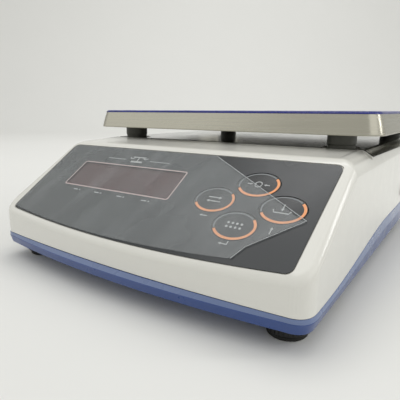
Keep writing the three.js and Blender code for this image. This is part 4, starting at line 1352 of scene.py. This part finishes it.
@dataclass
class Pan:
    """The pressed steel pan: a tray upside down with a flared skirt, and the film left on its top."""

    sheet: float = 1.0
    flare: float = 3.2
    corner: float = 13.0
    corner_share: float = 0.6
    top_round: float = 2.0
    flat_inset: float = 9.0
    film_thick: float = 0.05
    steps: int = 14

    def __post_init__(self) -> None:
        """Take the outer sizes from the CAD pan."""
        self.low, self.high = span("pan")

    def loop(self, inset: float, z: float) -> Ring:
        """The pan's outline at a height, drawn in by an inset."""
        radius = max(self.corner - inset * self.corner_share, 2)
        return lifted(node_rect("pan", inset, radius, self.steps), z)

    def profile(self, skin: float) -> list[Point]:
        """Inset and height from the skirt's foot to the top, for the outside or the sheet's inside."""
        foot, top = self.low.z, self.high.z - skin
        radius = self.top_round - skin * 0.6
        steps = [(skin + 0.05, foot + 1.1), (skin + self.flare * 0.5, (foot + top) / 2)]
        side = self.flare + skin
        for turn in range(0, 91, 15):
            a = math.radians(turn)
            steps.append((side + radius * (1 - math.cos(a)), top - radius + radius * math.sin(a)))
        return steps

    def make(self) -> None:
        """Build the pan as one folded sheet, and its film."""
        lip = [(0.35, 0.06), (0.0, 0.5)]
        rings = [self.loop(inset, self.low.z + z) for inset, z in lip]
        outside = self.profile(0)
        rings += [self.loop(inset, z) for inset, z in outside]
        flat = outside[-1][0] + self.flat_inset
        rings.append(self.loop(flat, self.high.z))
        under = [self.loop(flat, self.high.z - self.sheet)]
        under += [self.loop(inset, z) for inset, z in reversed(self.profile(self.sheet))]
        under += [self.loop(0.98, self.low.z + 0.5), self.loop(0.65, self.low.z + 0.06)]
        outer = loft("pan_out", rings, (False, True))
        inner = loft("pan_in", under, (True, False))
        bm = bmesh.new()
        for part in (outer, inner):
            bm.from_mesh(part.data)
            bpy.data.objects.remove(part)
        rims = [e for e in bm.edges if e.is_boundary]
        bmesh.ops.bridge_loops(bm, edges=rims)
        bmesh.ops.recalc_face_normals(bm, faces=bm.faces)
        dress(from_bmesh("pan_sheet", bm), Finish.PAN, "pan", TURNED)
        self.film()

    def film(self, lift: float = 0.2, ripple: float = 0.2, cells: int = 96) -> None:
        """The thin blue film on the pan: waves on the flat top, folded down over the rounded edge."""
        low, high = self.low, self.high
        top = high.z + lift
        bm = stack([self.loop(inset, z) for inset, z in self.profile(-lift)[3:]], (False, True))
        grid(bm, X_WAY, spread(low.x, high.x, cells))
        grid(bm, Y_WAY, spread(low.y, high.y, cells * 3 // 4))
        for vert in bm.verts:
            place = vert.co / MM
            if place.z < top - 0.02:
                continue
            wave = max(0.0, noise.noise(place * 0.11) + 0.1) + 0.5 * max(0.0, noise.noise(place * 0.03))
            vert.co.z += min(ripple * wave, 0.25) * MM
        piece = from_bmesh("pan_film_sheet", bm)
        thicken(piece, self.film_thick, -1)
        dress(piece, Finish.PAN_FILM, "pan_film", TURNED, False)


@dataclass
class Supports:
    """The cast cross under the pan with its posts and rubber pads."""

    chamfer: float = 0.7

    def make(self) -> None:
        """Build every post and pad, and dress the cross."""
        for corner in CORNERS:
            self.post(corner)
            self.pad(corner)
        soften("spider", Finish.SPIDER, 1.2, 3)
        soften("load_cell", Finish.CELL, 0.5)
        soften("load_cell_top_spacer", Finish.CELL, 0.4)
        soften("load_cell_base_spacer", Finish.CELL, 0.4)

    def post(self, corner: str) -> None:
        """One round post with a groove above its foot."""
        node = "pan_post_" + corner
        post = Extent.of(node)
        low, high, radius, c = post.low, post.high, post.half, self.chamfer
        profile = [(0, low), (radius - c, low), (radius - 0.1, low + c), (radius, low + 9),
                   (radius - 0.5, low + 9.6), (radius - 0.5, low + 11), (radius, low + 11.6),
                   (radius - 0.2, high - c), (radius - 0.35, high - c * 0.4), (radius - c, high), (0, high)]
        dress(lathe("pan_post_body_" + corner, profile, post.spot, 64), Finish.POST, node, TURNED)

    def pad(self, corner: str) -> None:
        """The rubber pad on one post, with a groove round it and a dimple on top."""
        node = "pan_pad_" + corner
        pad = Extent.of(node)
        low, high, radius = pad.low, pad.high, pad.half
        profile = [(0, low), (radius - 0.4, low), (radius, low + 0.4), (radius, low + 1.4),
                   (radius - 0.5, low + 1.8), (radius - 0.5, low + 2.2), (radius, low + 2.6),
                   (radius, high - 0.8), (radius - 0.8, high), (3, high), (2.5, high - 0.6), (0, high - 0.8)]
        dress(lathe("pan_pad_rubber_" + corner, profile, pad.spot, 56), Finish.RUBBER, node, TURNED)


# ------------------------------------------------------------------------------------------- feet and screws


@dataclass
class Feet:
    """Four screw feet: a ribbed black disc on a stud, and the rubber pad below it."""

    ribs: int = 36
    rib: tuple[float, float, float] = (0.9, 1.0, 4.4)
    stud: float = 4.0
    disc: float = 8.2
    thread: float = 0.45
    pitch: float = 1.0

    def make(self) -> None:
        """Build the feet, the pads and the casing's screws."""
        for corner in CORNERS:
            self.foot(corner)
            self.pad(corner)
            self.screw(corner)

    def foot(self, corner: str) -> None:
        """One ribbed disc with its threaded stud."""
        node = "foot_" + corner
        foot = Extent.of(node)
        low, high, radius = foot.low, foot.high, foot.half
        disc, grip = low + self.disc, radius - 0.5
        profile = [(0, low), (radius - 2, low), (radius - 0.9, low + 0.5), (grip, low + 1.4),
                   (grip, disc - 1.6), (radius - 1.0, disc - 0.7), (radius - 2.4, disc - 0.1), (6.4, disc),
                   (5.6, disc), (self.stud, disc)]
        z = disc + self.pitch / 2
        while z < high - 1.4:
            profile += [(self.stud, z), (self.stud - self.thread, z + self.pitch / 2)]
            z += self.pitch
        profile += [(self.stud, z), (self.stud - 0.7, high), (0, high)]
        dress(lathe("foot_disc_" + corner, profile, foot.spot, 72), Finish.BLACK, node, TURNED)
        width, _, tall = self.rib
        ribs = Pattern(Layout.ROUND, self.ribs, radius - width / 2 - 0.05, self.rib, Finish.BLACK)
        go_with(ribs.make("foot_ribs_" + corner, move(*foot.spot, low + 1.3 + tall / 2)), node)

    def pad(self, corner: str) -> None:
        """The rubber pad under one foot."""
        node = "foot_pad_" + corner
        pad = Extent.of(node)
        low, high, radius = pad.low, pad.high, pad.half
        profile = [(0, 0.4), (3, 0.4), (3.4, low), (6, low), (6.3, 0.5), (6.9, 0.5), (7.2, low),
                   (radius - 0.6, low), (radius, 0.6), (radius, high - 0.4), (radius - 0.4, high), (0, high)]
        dress(lathe("foot_pad_rubber_" + corner, profile, pad.spot, 56), Finish.RUBBER, node, TURNED)

    def screw(self, corner: str) -> None:
        """One casing screw with a crossed drive."""
        node = "casing_screw_" + corner
        screw = Extent.of(node)
        low, high, radius = screw.low, screw.high, screw.half
        profile = [(0, low), (radius - 1.1, low), (radius - 0.3, low + 0.5), (radius, low + 1.3),
                   (radius, low + 2.1), (1.5, low + 2.1), (1.5, high - 1), (0.6, high), (0, high)]
        piece = lathe("casing_screw_head_" + corner, profile, screw.spot, 40)
        x, y = screw.spot
        for long, short in ((1.7, 0.4), (0.4, 1.7)):
            slot = round_rect(x - long, x + long, y - short, y + short, 0.2, 3)
            combine(piece, prism("slot", slot, upright, low - 1, low + 1.1))
        dress(piece, Finish.SCREW, node, TURNED)


# ------------------------------------------------------------------------------------------------- key panel


@dataclass
class Prints:
    """Thin printed shapes on the console, each a raised sheet with clean edges."""

    thick: float = 0.03
    sunk: float = 0.03

    def flat(self, outlines: Sequence[Loop], level: float, name: str, finish: Finish) -> bpy.types.Object:
        """Raise outlines at a level of the console into one printed piece."""
        low, high = level - self.sunk, level + self.thick
        shapes = [prism("shape", loop, CONSOLE.point, low, high) for loop in outlines]
        piece = merge(name, shapes)
        finish.paint(piece)
        return piece

    @staticmethod
    def stroke(points: Sequence[Point], width: float) -> Loop:
        """The outline of a line of even width through points."""
        left, right = [], []
        for i, spot in enumerate(points):
            before = Vector(points[max(i - 1, 0)])
            after = Vector(points[min(i + 1, len(points) - 1)])
            way = (after - before).normalized()
            side = Vector((-way.y, way.x)) * width / 2
            left.append(tuple(Vector(spot) + side))
            right.append(tuple(Vector(spot) - side))
        return right + left[::-1]

    @staticmethod
    def arrow(tail: Point, tip: Point, width: float, head: float) -> list[Loop]:
        """A straight arrow as a shaft and a head."""
        a, b = Vector(tail), Vector(tip)
        way = (b - a).normalized()
        side = Vector((-way.y, way.x))
        neck = b - way * head
        shaft = [a - side * width / 2, neck - side * width / 2, neck + side * width / 2, a + side * width / 2]
        point = [neck - side * head * 0.55, b, neck + side * head * 0.55]
        return [[tuple(p) for p in shaft], [tuple(p) for p in point]]

    @staticmethod
    def block(x: float, half: float, low: float, high: float) -> Loop:
        """A rectangle round an upright middle line."""
        return [(x - half, low), (x + half, low), (x + half, high), (x - half, high)]

    @staticmethod
    def dot(spot: Point, radius: float) -> Loop:
        """A round dot."""
        return [tuple(p) for p in arc_points(spot, radius, 0, 360, 24)[:-1]]


@dataclass
class KeyPanel:
    """The grey panel with its window, prints, oval keys and digits."""

    window_frame: float = 0.65
    window_lap: float = 1.0
    arc_width: float = 1.5
    arc_share: float = 0.9
    dome: float = 0.25
    figure_pitch: float = 14.6
    figure_size: Point = (8.2, 15.4)
    prints: Prints = field(default_factory=Prints)

    def __post_init__(self) -> None:
        """Read the window's place from the CAD."""
        self.window = CONSOLE.flat("display_window")
        self.half = Extent.of("display_window").half + FIT_GAP
        self.tall = self.half * WINDOW_SHARE
        self.face = CONSOLE.top("keypad_panel")

    def sheet(self) -> None:
        """The printed sheet with its openings."""
        piece = prism("panel_sheet", panel_outline(-FIT_GAP), CONSOLE.point, self.face - 0.5, self.face)
        lap = self.window_lap
        outlines = [round_box(self.window, self.half - lap, self.tall - lap, 1)]
        outlines += [oval(CONSOLE.flat("key_" + key), FIT_GAP) for key in KEYS]
        tools = [prism("hole", outline, CONSOLE.point, -3, 3) for outline in outlines]
        combine(piece, merge("holes", tools))
        dress(piece, Finish.PANEL, "keypad_panel")

    def pane(self) -> None:
        """The red window and its pale outline."""
        half, tall = self.half - FIT_GAP, self.tall - FIT_GAP
        top = CONSOLE.top("display_window")
        outline = round_box(self.window, half, tall, 1.2)
        dress(prism("window_pane", outline, CONSOLE.point, top - 1.5, top), Finish.WINDOW, "display_window")
        band = self.window_frame
        outer = round_box(self.window, half + 0.2, tall + 0.2, 2)
        inner = round_box(self.window, half - band, tall - band, 1.2)
        piece = self.prints.flat([outer], self.face, "window_outline", Finish.PINK)
        combine(piece, prism("hole", inner, CONSOLE.point, -3, 3))
        smooth(piece)
        go_with(piece, "keypad_panel")

    def digits(self) -> None:
        """The two display modules, each with three figures made of seven bars."""
        for side in ("left", "right"):
            node = "digits_" + side
            soften(node, Finish.DIGIT_BODY, 0.4)
            x, y = CONSOLE.flat(node)
            bars: list[Loop] = []
            for i in (-1, 0, 1):
                bars += self.figure((x + i * self.figure_pitch, y), *self.figure_size)
            piece = self.prints.flat(bars, CONSOLE.top(node), "digit_bars_" + side, Finish.SEGMENT)
            smooth(piece)
            go_with(piece, node)

    def figure(self, spot: Point, wide: float, tall: float, bar: float = 1.5,
               slant: float = 0.12) -> list[Loop]:
        """Seven bars and a point round a spot, leaning a little to the right.

        Args:
            spot: The figure's middle.
            wide: Its width, between the middles of its bars.
            tall: Its height, measured the same way.
            bar: The width of a bar.
            slant: How far it leans for each millimetre of height.

        Returns:
            Eight outlines.
        """
        x, y = wide / 2, tall / 2
        gap = bar * 0.62
        ends = [((-x, y), (x, y)), ((-x, 0), (x, 0)), ((-x, -y), (x, -y)), ((-x, 0), (-x, y)),
                ((x, 0), (x, y)), ((-x, -y), (-x, 0)), ((x, -y), (x, 0))]
        bars = []
        for (ax, ay), (bx, by) in ends:
            way = Vector((bx - ax, by - ay)).normalized()
            side = Vector((-way.y, way.x)) * bar / 2
            a, b = Vector((ax, ay)) + way * gap, Vector((bx, by)) - way * gap
            tip = way * bar / 2
            loop = [a - tip + way * 0.3, a - side, b - side, b + tip - way * 0.3, b + side, a + side]
            bars.append([(spot[0] + p.x + p.y * slant, spot[1] + p.y) for p in loop])
        bars.append(self.prints.dot((spot[0] + x + bar * 1.3, spot[1] - y), bar * 0.55))
        return bars

    def keys(self) -> None:
        """Each key's domed cap, thin ring, thick orange arc and symbol."""
        for key in KEYS:
            node = "key_" + key
            spot = CONSOLE.flat(node)
            low, top = CONSOLE.foot(node), CONSOLE.top(node)
            rim = top - self.dome
            steps = [(0.94, low), (0.99, low + 0.3), (1.0, low + 0.9), (1.0, rim - 0.35), (0.985, rim - 0.08),
                     (0.95, rim)]
            steps += [(share, top - self.dome * share ** 2) for share in (0.8, 0.6, 0.4, 0.2, 0.05)]
            rings = [[CONSOLE.point(x, y, z) for x, y in oval(spot, 0, share)] for share, z in steps]
            dress(loft("key_cap_" + key, rings), Finish.KEY, node, TURNED)
            self.dress_key(key, spot, top)

    def key_arc(self, key: str, start: float, end: float, steps: int, width: float) -> Loop:
        """The outline of part of an oval line inside a key's rim.

        Args:
            key: The key's name.
            start: The angle where it starts, in degrees.
            end: The angle where it ends.
            steps: Pieces along it.
            width: The width of the line.

        Returns:
            The outline's points.
        """
        x, y = CONSOLE.flat("key_" + key)
        long = Extent.of("key_" + key).half
        short = long * KEY_SHARE
        angles = [math.radians(start + (end - start) * i / steps) for i in range(steps + 1)]
        points = [(x + long * self.arc_share * math.cos(a), y + short * self.arc_share * math.sin(a))
                  for a in angles]
        return self.prints.stroke(points, width)

    def dress_key(self, key: str, spot: Point, top: float) -> None:
        """The prints on one key: a thick arc, a thin ring and a sign, laid on its dome."""
        level = top - self.dome * self.arc_share ** 2 + 0.03
        thick = self.key_arc(key, 208, 400, 40, self.arc_width)
        thin = self.key_arc(key, 45, 203, 36, self.arc_width * 0.6)
        for name, outlines, height, finish in (
            ("key_arc_", [thick], level, Finish.ORANGE),
            ("key_ring_", [thin], level, Finish.DIM),
            ("key_sign_", self.symbol(key, spot), top - 0.01, Finish.PALE),
        ):
            piece = self.prints.flat(outlines, height, name + key, finish)
            go_with(piece, "key_" + key, SLOT_OF["keypad_panel"])

    def symbol(self, key: str, spot: Point) -> list[Loop]:
        """A plain sign for what a key does."""
        x, y = spot
        pen = self.prints
        if key == "zero":
            circle = [tuple(p) for p in arc_points(spot, 2.1, 0, 350, 30)]
            return [pen.stroke(circle, 0.6), *pen.arrow((x - 7, y), (x - 3.4, y), 0.6, 1.5),
                    *pen.arrow((x + 7, y), (x + 3.4, y), 0.6, 1.5)]
        if key == "unit":
            return [*pen.arrow((x - 4.6, y + 1.5), (x + 4.6, y + 1.5), 0.7, 1.8),
                    *pen.arrow((x + 4.6, y - 1.5), (x - 4.6, y - 1.5), 0.7, 1.8)]
        if key == "tare":
            tray = [(x - 5, y - 0.8), (x - 4.2, y - 2.6), (x + 4.2, y - 2.6), (x + 5, y - 0.8)]
            return [pen.stroke(tray, 0.7), *pen.arrow((x, y + 3.6), (x, y - 1.4), 0.7, 1.8)]
        return [pen.dot((x - 4 + 2.7 * column, y - 1.4 + 2.8 * row), 0.75)
                for column in range(4) for row in range(2)]

    def legends(self) -> None:
        """The plain marks on the panel: a header, unit marks and arrows by the keys."""
        x, y = self.window
        pen = self.prints
        top, foot = y + self.tall, y - self.tall - 3.4
        marks = [pen.block(x, 5.5, top + 3.4, top + 5.0), pen.block(x, 0.5, top + 5, top + 9.2),
                 pen.stroke([(x - 6.4, top + 9.2), (x + 6.4, top + 9.2)], 0.9)]
        marks += [pen.stroke(arc_points((x + side * 6.4, top + 9.6), 2.3, 200, 340, 12), 0.7)
                  for side in (-1, 1)]
        marks += [pen.stroke([(x + left, top + 6), (x + right, top + 6)], 0.5)
                  for left, right in ((-30, -12), (12, 30))]
        for i in range(4):
            middle = x - 33 + 22 * i
            marks.append(pen.stroke([(middle - 2.2, foot), (middle + 2.2, foot)], 0.8))
            marks.append(pen.dot((middle + 4.2, foot), 0.6))
        piece = pen.flat(marks, self.face, "panel_marks", Finish.PALE)
        go_with(piece, "keypad_panel")
        spots = {key: CONSOLE.flat("key_" + key) for key in KEYS}
        left, below, right = ((spots[key][0] - 0.5, spots[key][1] - drop)
                              for key, drop in (("unit", 12.8), ("count", 12.8), ("tare", 15)))
        signs = [*pen.arrow((left[0] + 2.6, left[1]), (left[0] - 2.6, left[1]), 0.6, 1.6),
                 *pen.arrow((right[0], right[1] - 2.4), (right[0], right[1] + 2.4), 0.6, 1.6),
                 pen.stroke([(below[0] + 2.4, below[1] + 2.2), (below[0] + 2.4, below[1])], 0.6),
                 *pen.arrow((below[0] + 2.7, below[1]), (below[0] - 2.6, below[1]), 0.6, 1.6)]
        piece = pen.flat(signs, self.face, "panel_arrows", Finish.PALE)
        go_with(piece, "keypad_panel")

    def make(self) -> None:
        """Build the whole panel."""
        self.sheet()
        self.pane()
        self.digits()
        self.keys()
        self.legends()


@dataclass
class CoverFilm:
    """The clear film left on the panel, torn back at the keys, wrinkled and folded at its end, where pale strips
    along the torn edges add a painted highlight.
    """

    outline: tuple[Point, ...] = ((-110.5, -1.0), (30.2, -1.0), (106.07, -43.92), (82.86, -66.39),
                                  (78.64, -75.0), (-108.5, -74.0))
    bow_pull: Point = (-12.0, -87.0)
    inside: Point = (-40.0, -30.0)
    x_range: Point = (-111.0, 107.0)
    y_range: Point = (-81.0, 0.0)
    cells: int = 74
    wrinkle: float = 0.14
    thick: float = 0.06
    curl: float = 0.55
    curl_width: float = 2.2
    curl_stops: tuple[float, ...] = (0.2, 0.45, 0.7, 1.0)
    hem_width: float = 0.35

    @property
    def torn(self) -> list[tuple[Point, Point]]:
        """The ends of each torn-back edge."""
        return list(zip(self.outline[1:4], self.outline[2:5]))

    def edge_distance(self, x: float, y: float) -> float:
        """How far a spot lies from the film's torn-back edges, in millimetres."""
        best = 100.0
        for start, end in self.torn:
            a, b = Vector(start), Vector(end)
            share = min(max((Vector((x, y)) - a).dot(b - a) / (b - a).length_squared, 0), 1)
            best = min(best, (a + (b - a) * share - Vector((x, y))).length)
        return best

    def make(self) -> None:
        """Build the film as a thin wavy sheet that stays within the CAD film."""
        base = CONSOLE.top("panel_film")
        bm = bmesh.new()
        loop = [*self.outline[:5], *curve_points(self.outline[4], self.bow_pull, self.outline[5], 24)][::-1]
        bm.faces.new(ring(bm, lifted(loop, 0)))
        grid(bm, X_WAY, spread(*self.x_range, self.cells))
        grid(bm, Y_WAY, spread(*self.y_range, self.cells // 2))
        for start, end in self.torn:
            self.cut_curl(bm, start, end)
        for vert in bm.verts:
            x, y = vert.co.x / MM, vert.co.y / MM
            wave = noise.noise(Vector((x * 0.06 + y * 0.05, y * 0.02, 4))) * 0.6
            wave += noise.noise(Vector((x * 0.25, y * 0.2, 9))) * 0.4
            lift = base - self.thick + min(0.0, -self.wrinkle + wave * self.wrinkle)
            lift += self.curl * max(0.0, 1 - self.edge_distance(x, y) / self.curl_width) ** 2
            vert.co = CONSOLE.point(x, y, lift) * MM
        bmesh.ops.recalc_face_normals(bm, faces=bm.faces)
        piece = from_bmesh("panel_film_sheet", bm)
        thicken(piece, self.thick * 0.5, 0)
        dress(piece, Finish.COVER, "panel_film", 50, False)
        # Pale strips along the torn edges: the film folded back there, made paler as a painted highlight.
        folds = [Prints.stroke(list(edge), self.hem_width) for edge in self.torn]
        strips = [prism("hem", loop, CONSOLE.point, base - 0.02, base + 0.03) for loop in folds]
        hem = merge("panel_film_hem", strips)
        Finish.HEM.paint(hem)
        go_with(hem, "panel_film")

    def cut_curl(self, bm: bmesh.types.BMesh, start: Point, end: Point) -> None:
        """Cut the flat film along the inside of a torn-back edge, where it curls up."""
        way = (Vector(end) - Vector(start)).normalized()
        side = Vector((way.y, -way.x, 0))
        if side.dot(Vector((*self.inside, 0)) - Vector((*start, 0))) < 0:
            side.negate()
        away = side.dot(Vector((*start, 0)))
        grid(bm, side, [away + self.curl_width * share for share in self.curl_stops])


# --------------------------------------------------------------------------------------------------- insides


@dataclass
class Insides:
    """What sits inside and under the casing: power parts, boards, leads and the level."""

    edge: float = 0.4
    small_edge: float = 0.3
    pins: int = 8
    pin_pitch: float = 2.54
    pin: tuple[float, float, float] = (0.7, 0.7, 5)

    def make(self) -> None:
        """Dress the parts inside, and add pins to the main board."""
        rounded = {
            "base_plate": Finish.ZINC,
            "battery": Finish.BATTERY,
            "battery_strap": Finish.ZINC,
            "power_switch_frame": Finish.BLACK,
            "power_rocker": Finish.BLACK,
            "charge_socket": Finish.BLACK,
        }
        for node, finish in rounded.items():
            soften(node, finish, self.edge)
        for node in ("main_board", "display_board"):
            soften(node, Finish.BOARD, 0)
        for key in KEYS:
            soften("switch_" + key, Finish.BLACK, self.small_edge)
        for corner in CORNERS:
            soften("stop_screw_" + corner, Finish.SCREW, self.small_edge)
        for node in ("load_cell_lead", "battery_lead"):
            soften(node, Finish.LEAD, 0)
        soften("rating_label", Finish.LABEL, 0)
        self.level()
        low, high = span("main_board")
        place = move((low.x + high.x) / 2 - 8, high.y - 7, high.z - 6)
        row = Pattern(Layout.ROW, self.pins, self.pin_pitch, self.pin, Finish.SCREW)
        go_with(row.make("main_board_pins", place), "main_board", SLOT_OF["base_plate"])

    def level(self) -> None:
        """The round level: a black collar, and its vial of liquid under a dome."""
        level = Extent.of("bubble_level")
        low, high, radius = level.low, level.high, level.half
        flange = high - 0.8
        profile = [(0, low), (6.5, low), (6.9, low + 0.5), (6.9, flange), (radius - 0.3, flange),
                   (radius, flange + 0.25), (radius - 0.3, high), (6.2, high), (5.6, high - 0.7),
                   (0, high - 0.7)]
        dress(lathe("level_collar", profile, level.spot, 64), Finish.BLACK, "bubble_level", TURNED)
        top = high - 0.05
        dome = [(0, top - 1.2), (5.4, top - 1.2), (5.4, top - 0.5), (4, top - 0.15), (2, top - 0.02),
                (0, top)]
        glass = lathe("level_glass", dome, level.spot, 48)
        smooth(glass, TURNED)
        Finish.VIAL.paint(glass)
        go_with(glass, "bubble_level")


# ------------------------------------------------------------------------------------------ light and camera


@dataclass(frozen=True)
class Studio:
    """A pale floor that runs up into a backdrop, soft lights, and the camera."""

    eye: tuple[float, float, float] = (0.1725, -0.3045, 0.1094)
    yaw: float = 35.21
    pitch: float = 12.58
    roll: float = 0.21
    lens: float = 36.17
    floor_near: float = -2.5
    sweep_start: float = 1.6
    sweep: float = 0.8
    wall_top: float = 3.5
    floor_half: float = 4.0

    def floor(self) -> None:
        """A floor whose far side curves up."""
        bm = bmesh.new()
        away = Vector((-math.sin(math.radians(self.yaw)), math.cos(math.radians(self.yaw)), 0))
        side = Vector((away.y, -away.x, 0))
        start, bend, half = self.sweep_start, self.sweep, self.floor_half
        turns = [math.radians(a) for a in range(6, 91, 6)]
        profile = [(self.floor_near, 0.0), (start, 0.0)]
        profile += [(start + bend * math.sin(a), bend - bend * math.cos(a)) for a in turns]
        profile.append((start + bend, self.wall_top))
        rows = [[bm.verts.new(away * u + side * s + Vector((0, 0, z))) for s in (-half, half)]
                for u, z in profile]
        for low, high in zip(rows, rows[1:]):
            bm.faces.new((low[0], high[0], high[1], low[1]))
        bmesh.ops.recalc_face_normals(bm, faces=bm.faces)
        if bm.faces[:][0].normal.z < 0:
            bmesh.ops.reverse_faces(bm, faces=bm.faces)
        piece = from_bmesh("studio_floor", bm)
        smooth(piece, 60, False)
        pen = Pen("studio_floor")
        cloud = pen.noise(pen.place(), 3)
        colour = pen.mix(cloud, tone("#e2e2e0"), tone("#e5e5e3"))
        piece.data.materials.append(pen.finish(Base_Color=colour, Roughness=0.75, Specular_IOR_Level=0.25))

    def lamp(self, name: str, spot: Sequence[float], aim: Sequence[float], size: Point,
             power: float) -> None:
        """One soft rectangular light.

        Args:
            name: The light's name.
            spot: Where it hangs, in metres.
            aim: What it points at.
            size: Its width and height, in metres.
            power: Its strength, in watts.
        """
        light = bpy.data.lights.new(name, "AREA")
        light.shape = "RECTANGLE"
        light.size, light.size_y = size
        light.energy = power
        lamp = bpy.data.objects.new(name, light)
        lamp.location = spot
        lamp.rotation_euler = (Vector(aim) - Vector(spot)).to_track_quat("-Z", "Y").to_euler()
        bpy.context.scene.collection.objects.link(lamp)

    def lights(self) -> None:
        """A large soft light from the right, a wide one above and a weak one from the left."""
        self.lamp("key_light", (1.3, -0.35, 1.0), (0.0, 0.0, 0.05), (1.2, 1.0), 2.2)
        self.lamp("top_light", (-0.1, 0.1, 1.7), (0.0, 0.0, 0.05), (1.8, 1.4), 7.5)
        self.lamp("fill_light", (-1.2, -1.0, 0.8), (0.0, -0.05, 0.05), (1.2, 1.0), 1.2)
        self.lamp("rim_light", (1.1, 0.55, 0.8), (0.1, -0.1, 0.05), (0.2, 0.8), 2.6)
        self.lamp("backdrop_light", (-0.2, 0.7, 1.8), (-1.3, 1.9, 0.5), (1.4, 0.8), 9)
        world = bpy.data.worlds.new("studio")
        world.use_nodes = True
        back = world.node_tree.nodes["Background"]
        back.inputs["Color"].default_value = tone("#f2f2ee")
        back.inputs["Strength"].default_value = 0.78
        bpy.context.scene.world = world
        bpy.context.scene.view_settings.view_transform = "Standard"

    def camera(self) -> None:
        """The camera, matched to the viewing angle."""
        yaw, pitch, roll = (math.radians(v) for v in (self.yaw, self.pitch, self.roll))
        ahead = Vector((-math.sin(yaw) * math.cos(pitch), math.cos(yaw) * math.cos(pitch), -math.sin(pitch)))
        right = Vector((math.cos(yaw), math.sin(yaw), 0))
        up = right.cross(ahead)
        axis_x = right * math.cos(roll) + up * math.sin(roll)
        axis_y = up * math.cos(roll) - right * math.sin(roll)
        turn = Matrix((axis_x, axis_y, -ahead)).transposed().to_4x4()
        data = bpy.data.cameras.new("camera")
        data.lens = self.lens
        data.sensor_width = 36
        data.dof.use_dof = False
        data.clip_start = 0.01
        camera = bpy.data.objects.new("camera", data)
        camera.matrix_world = Matrix.Translation(Vector(self.eye)) @ turn
        bpy.context.scene.collection.objects.link(camera)
        bpy.context.scene.camera = camera

    def make(self) -> None:
        """Set the whole stage."""
        self.floor()
        self.lights()
        self.camera()


def main() -> None:
    """Build every sub-assembly in order, then the stage."""
    logging.basicConfig(level=logging.INFO, format="%(message)s")
    for part in (TopCasing(), BaseCasing(), Pan(), Supports(), Feet(), KeyPanel(), CoverFilm(), Insides()):
        log.info("building %s", type(part).__name__)
        part.make()
    Studio().make()


if __name__ == "__main__":
    main()
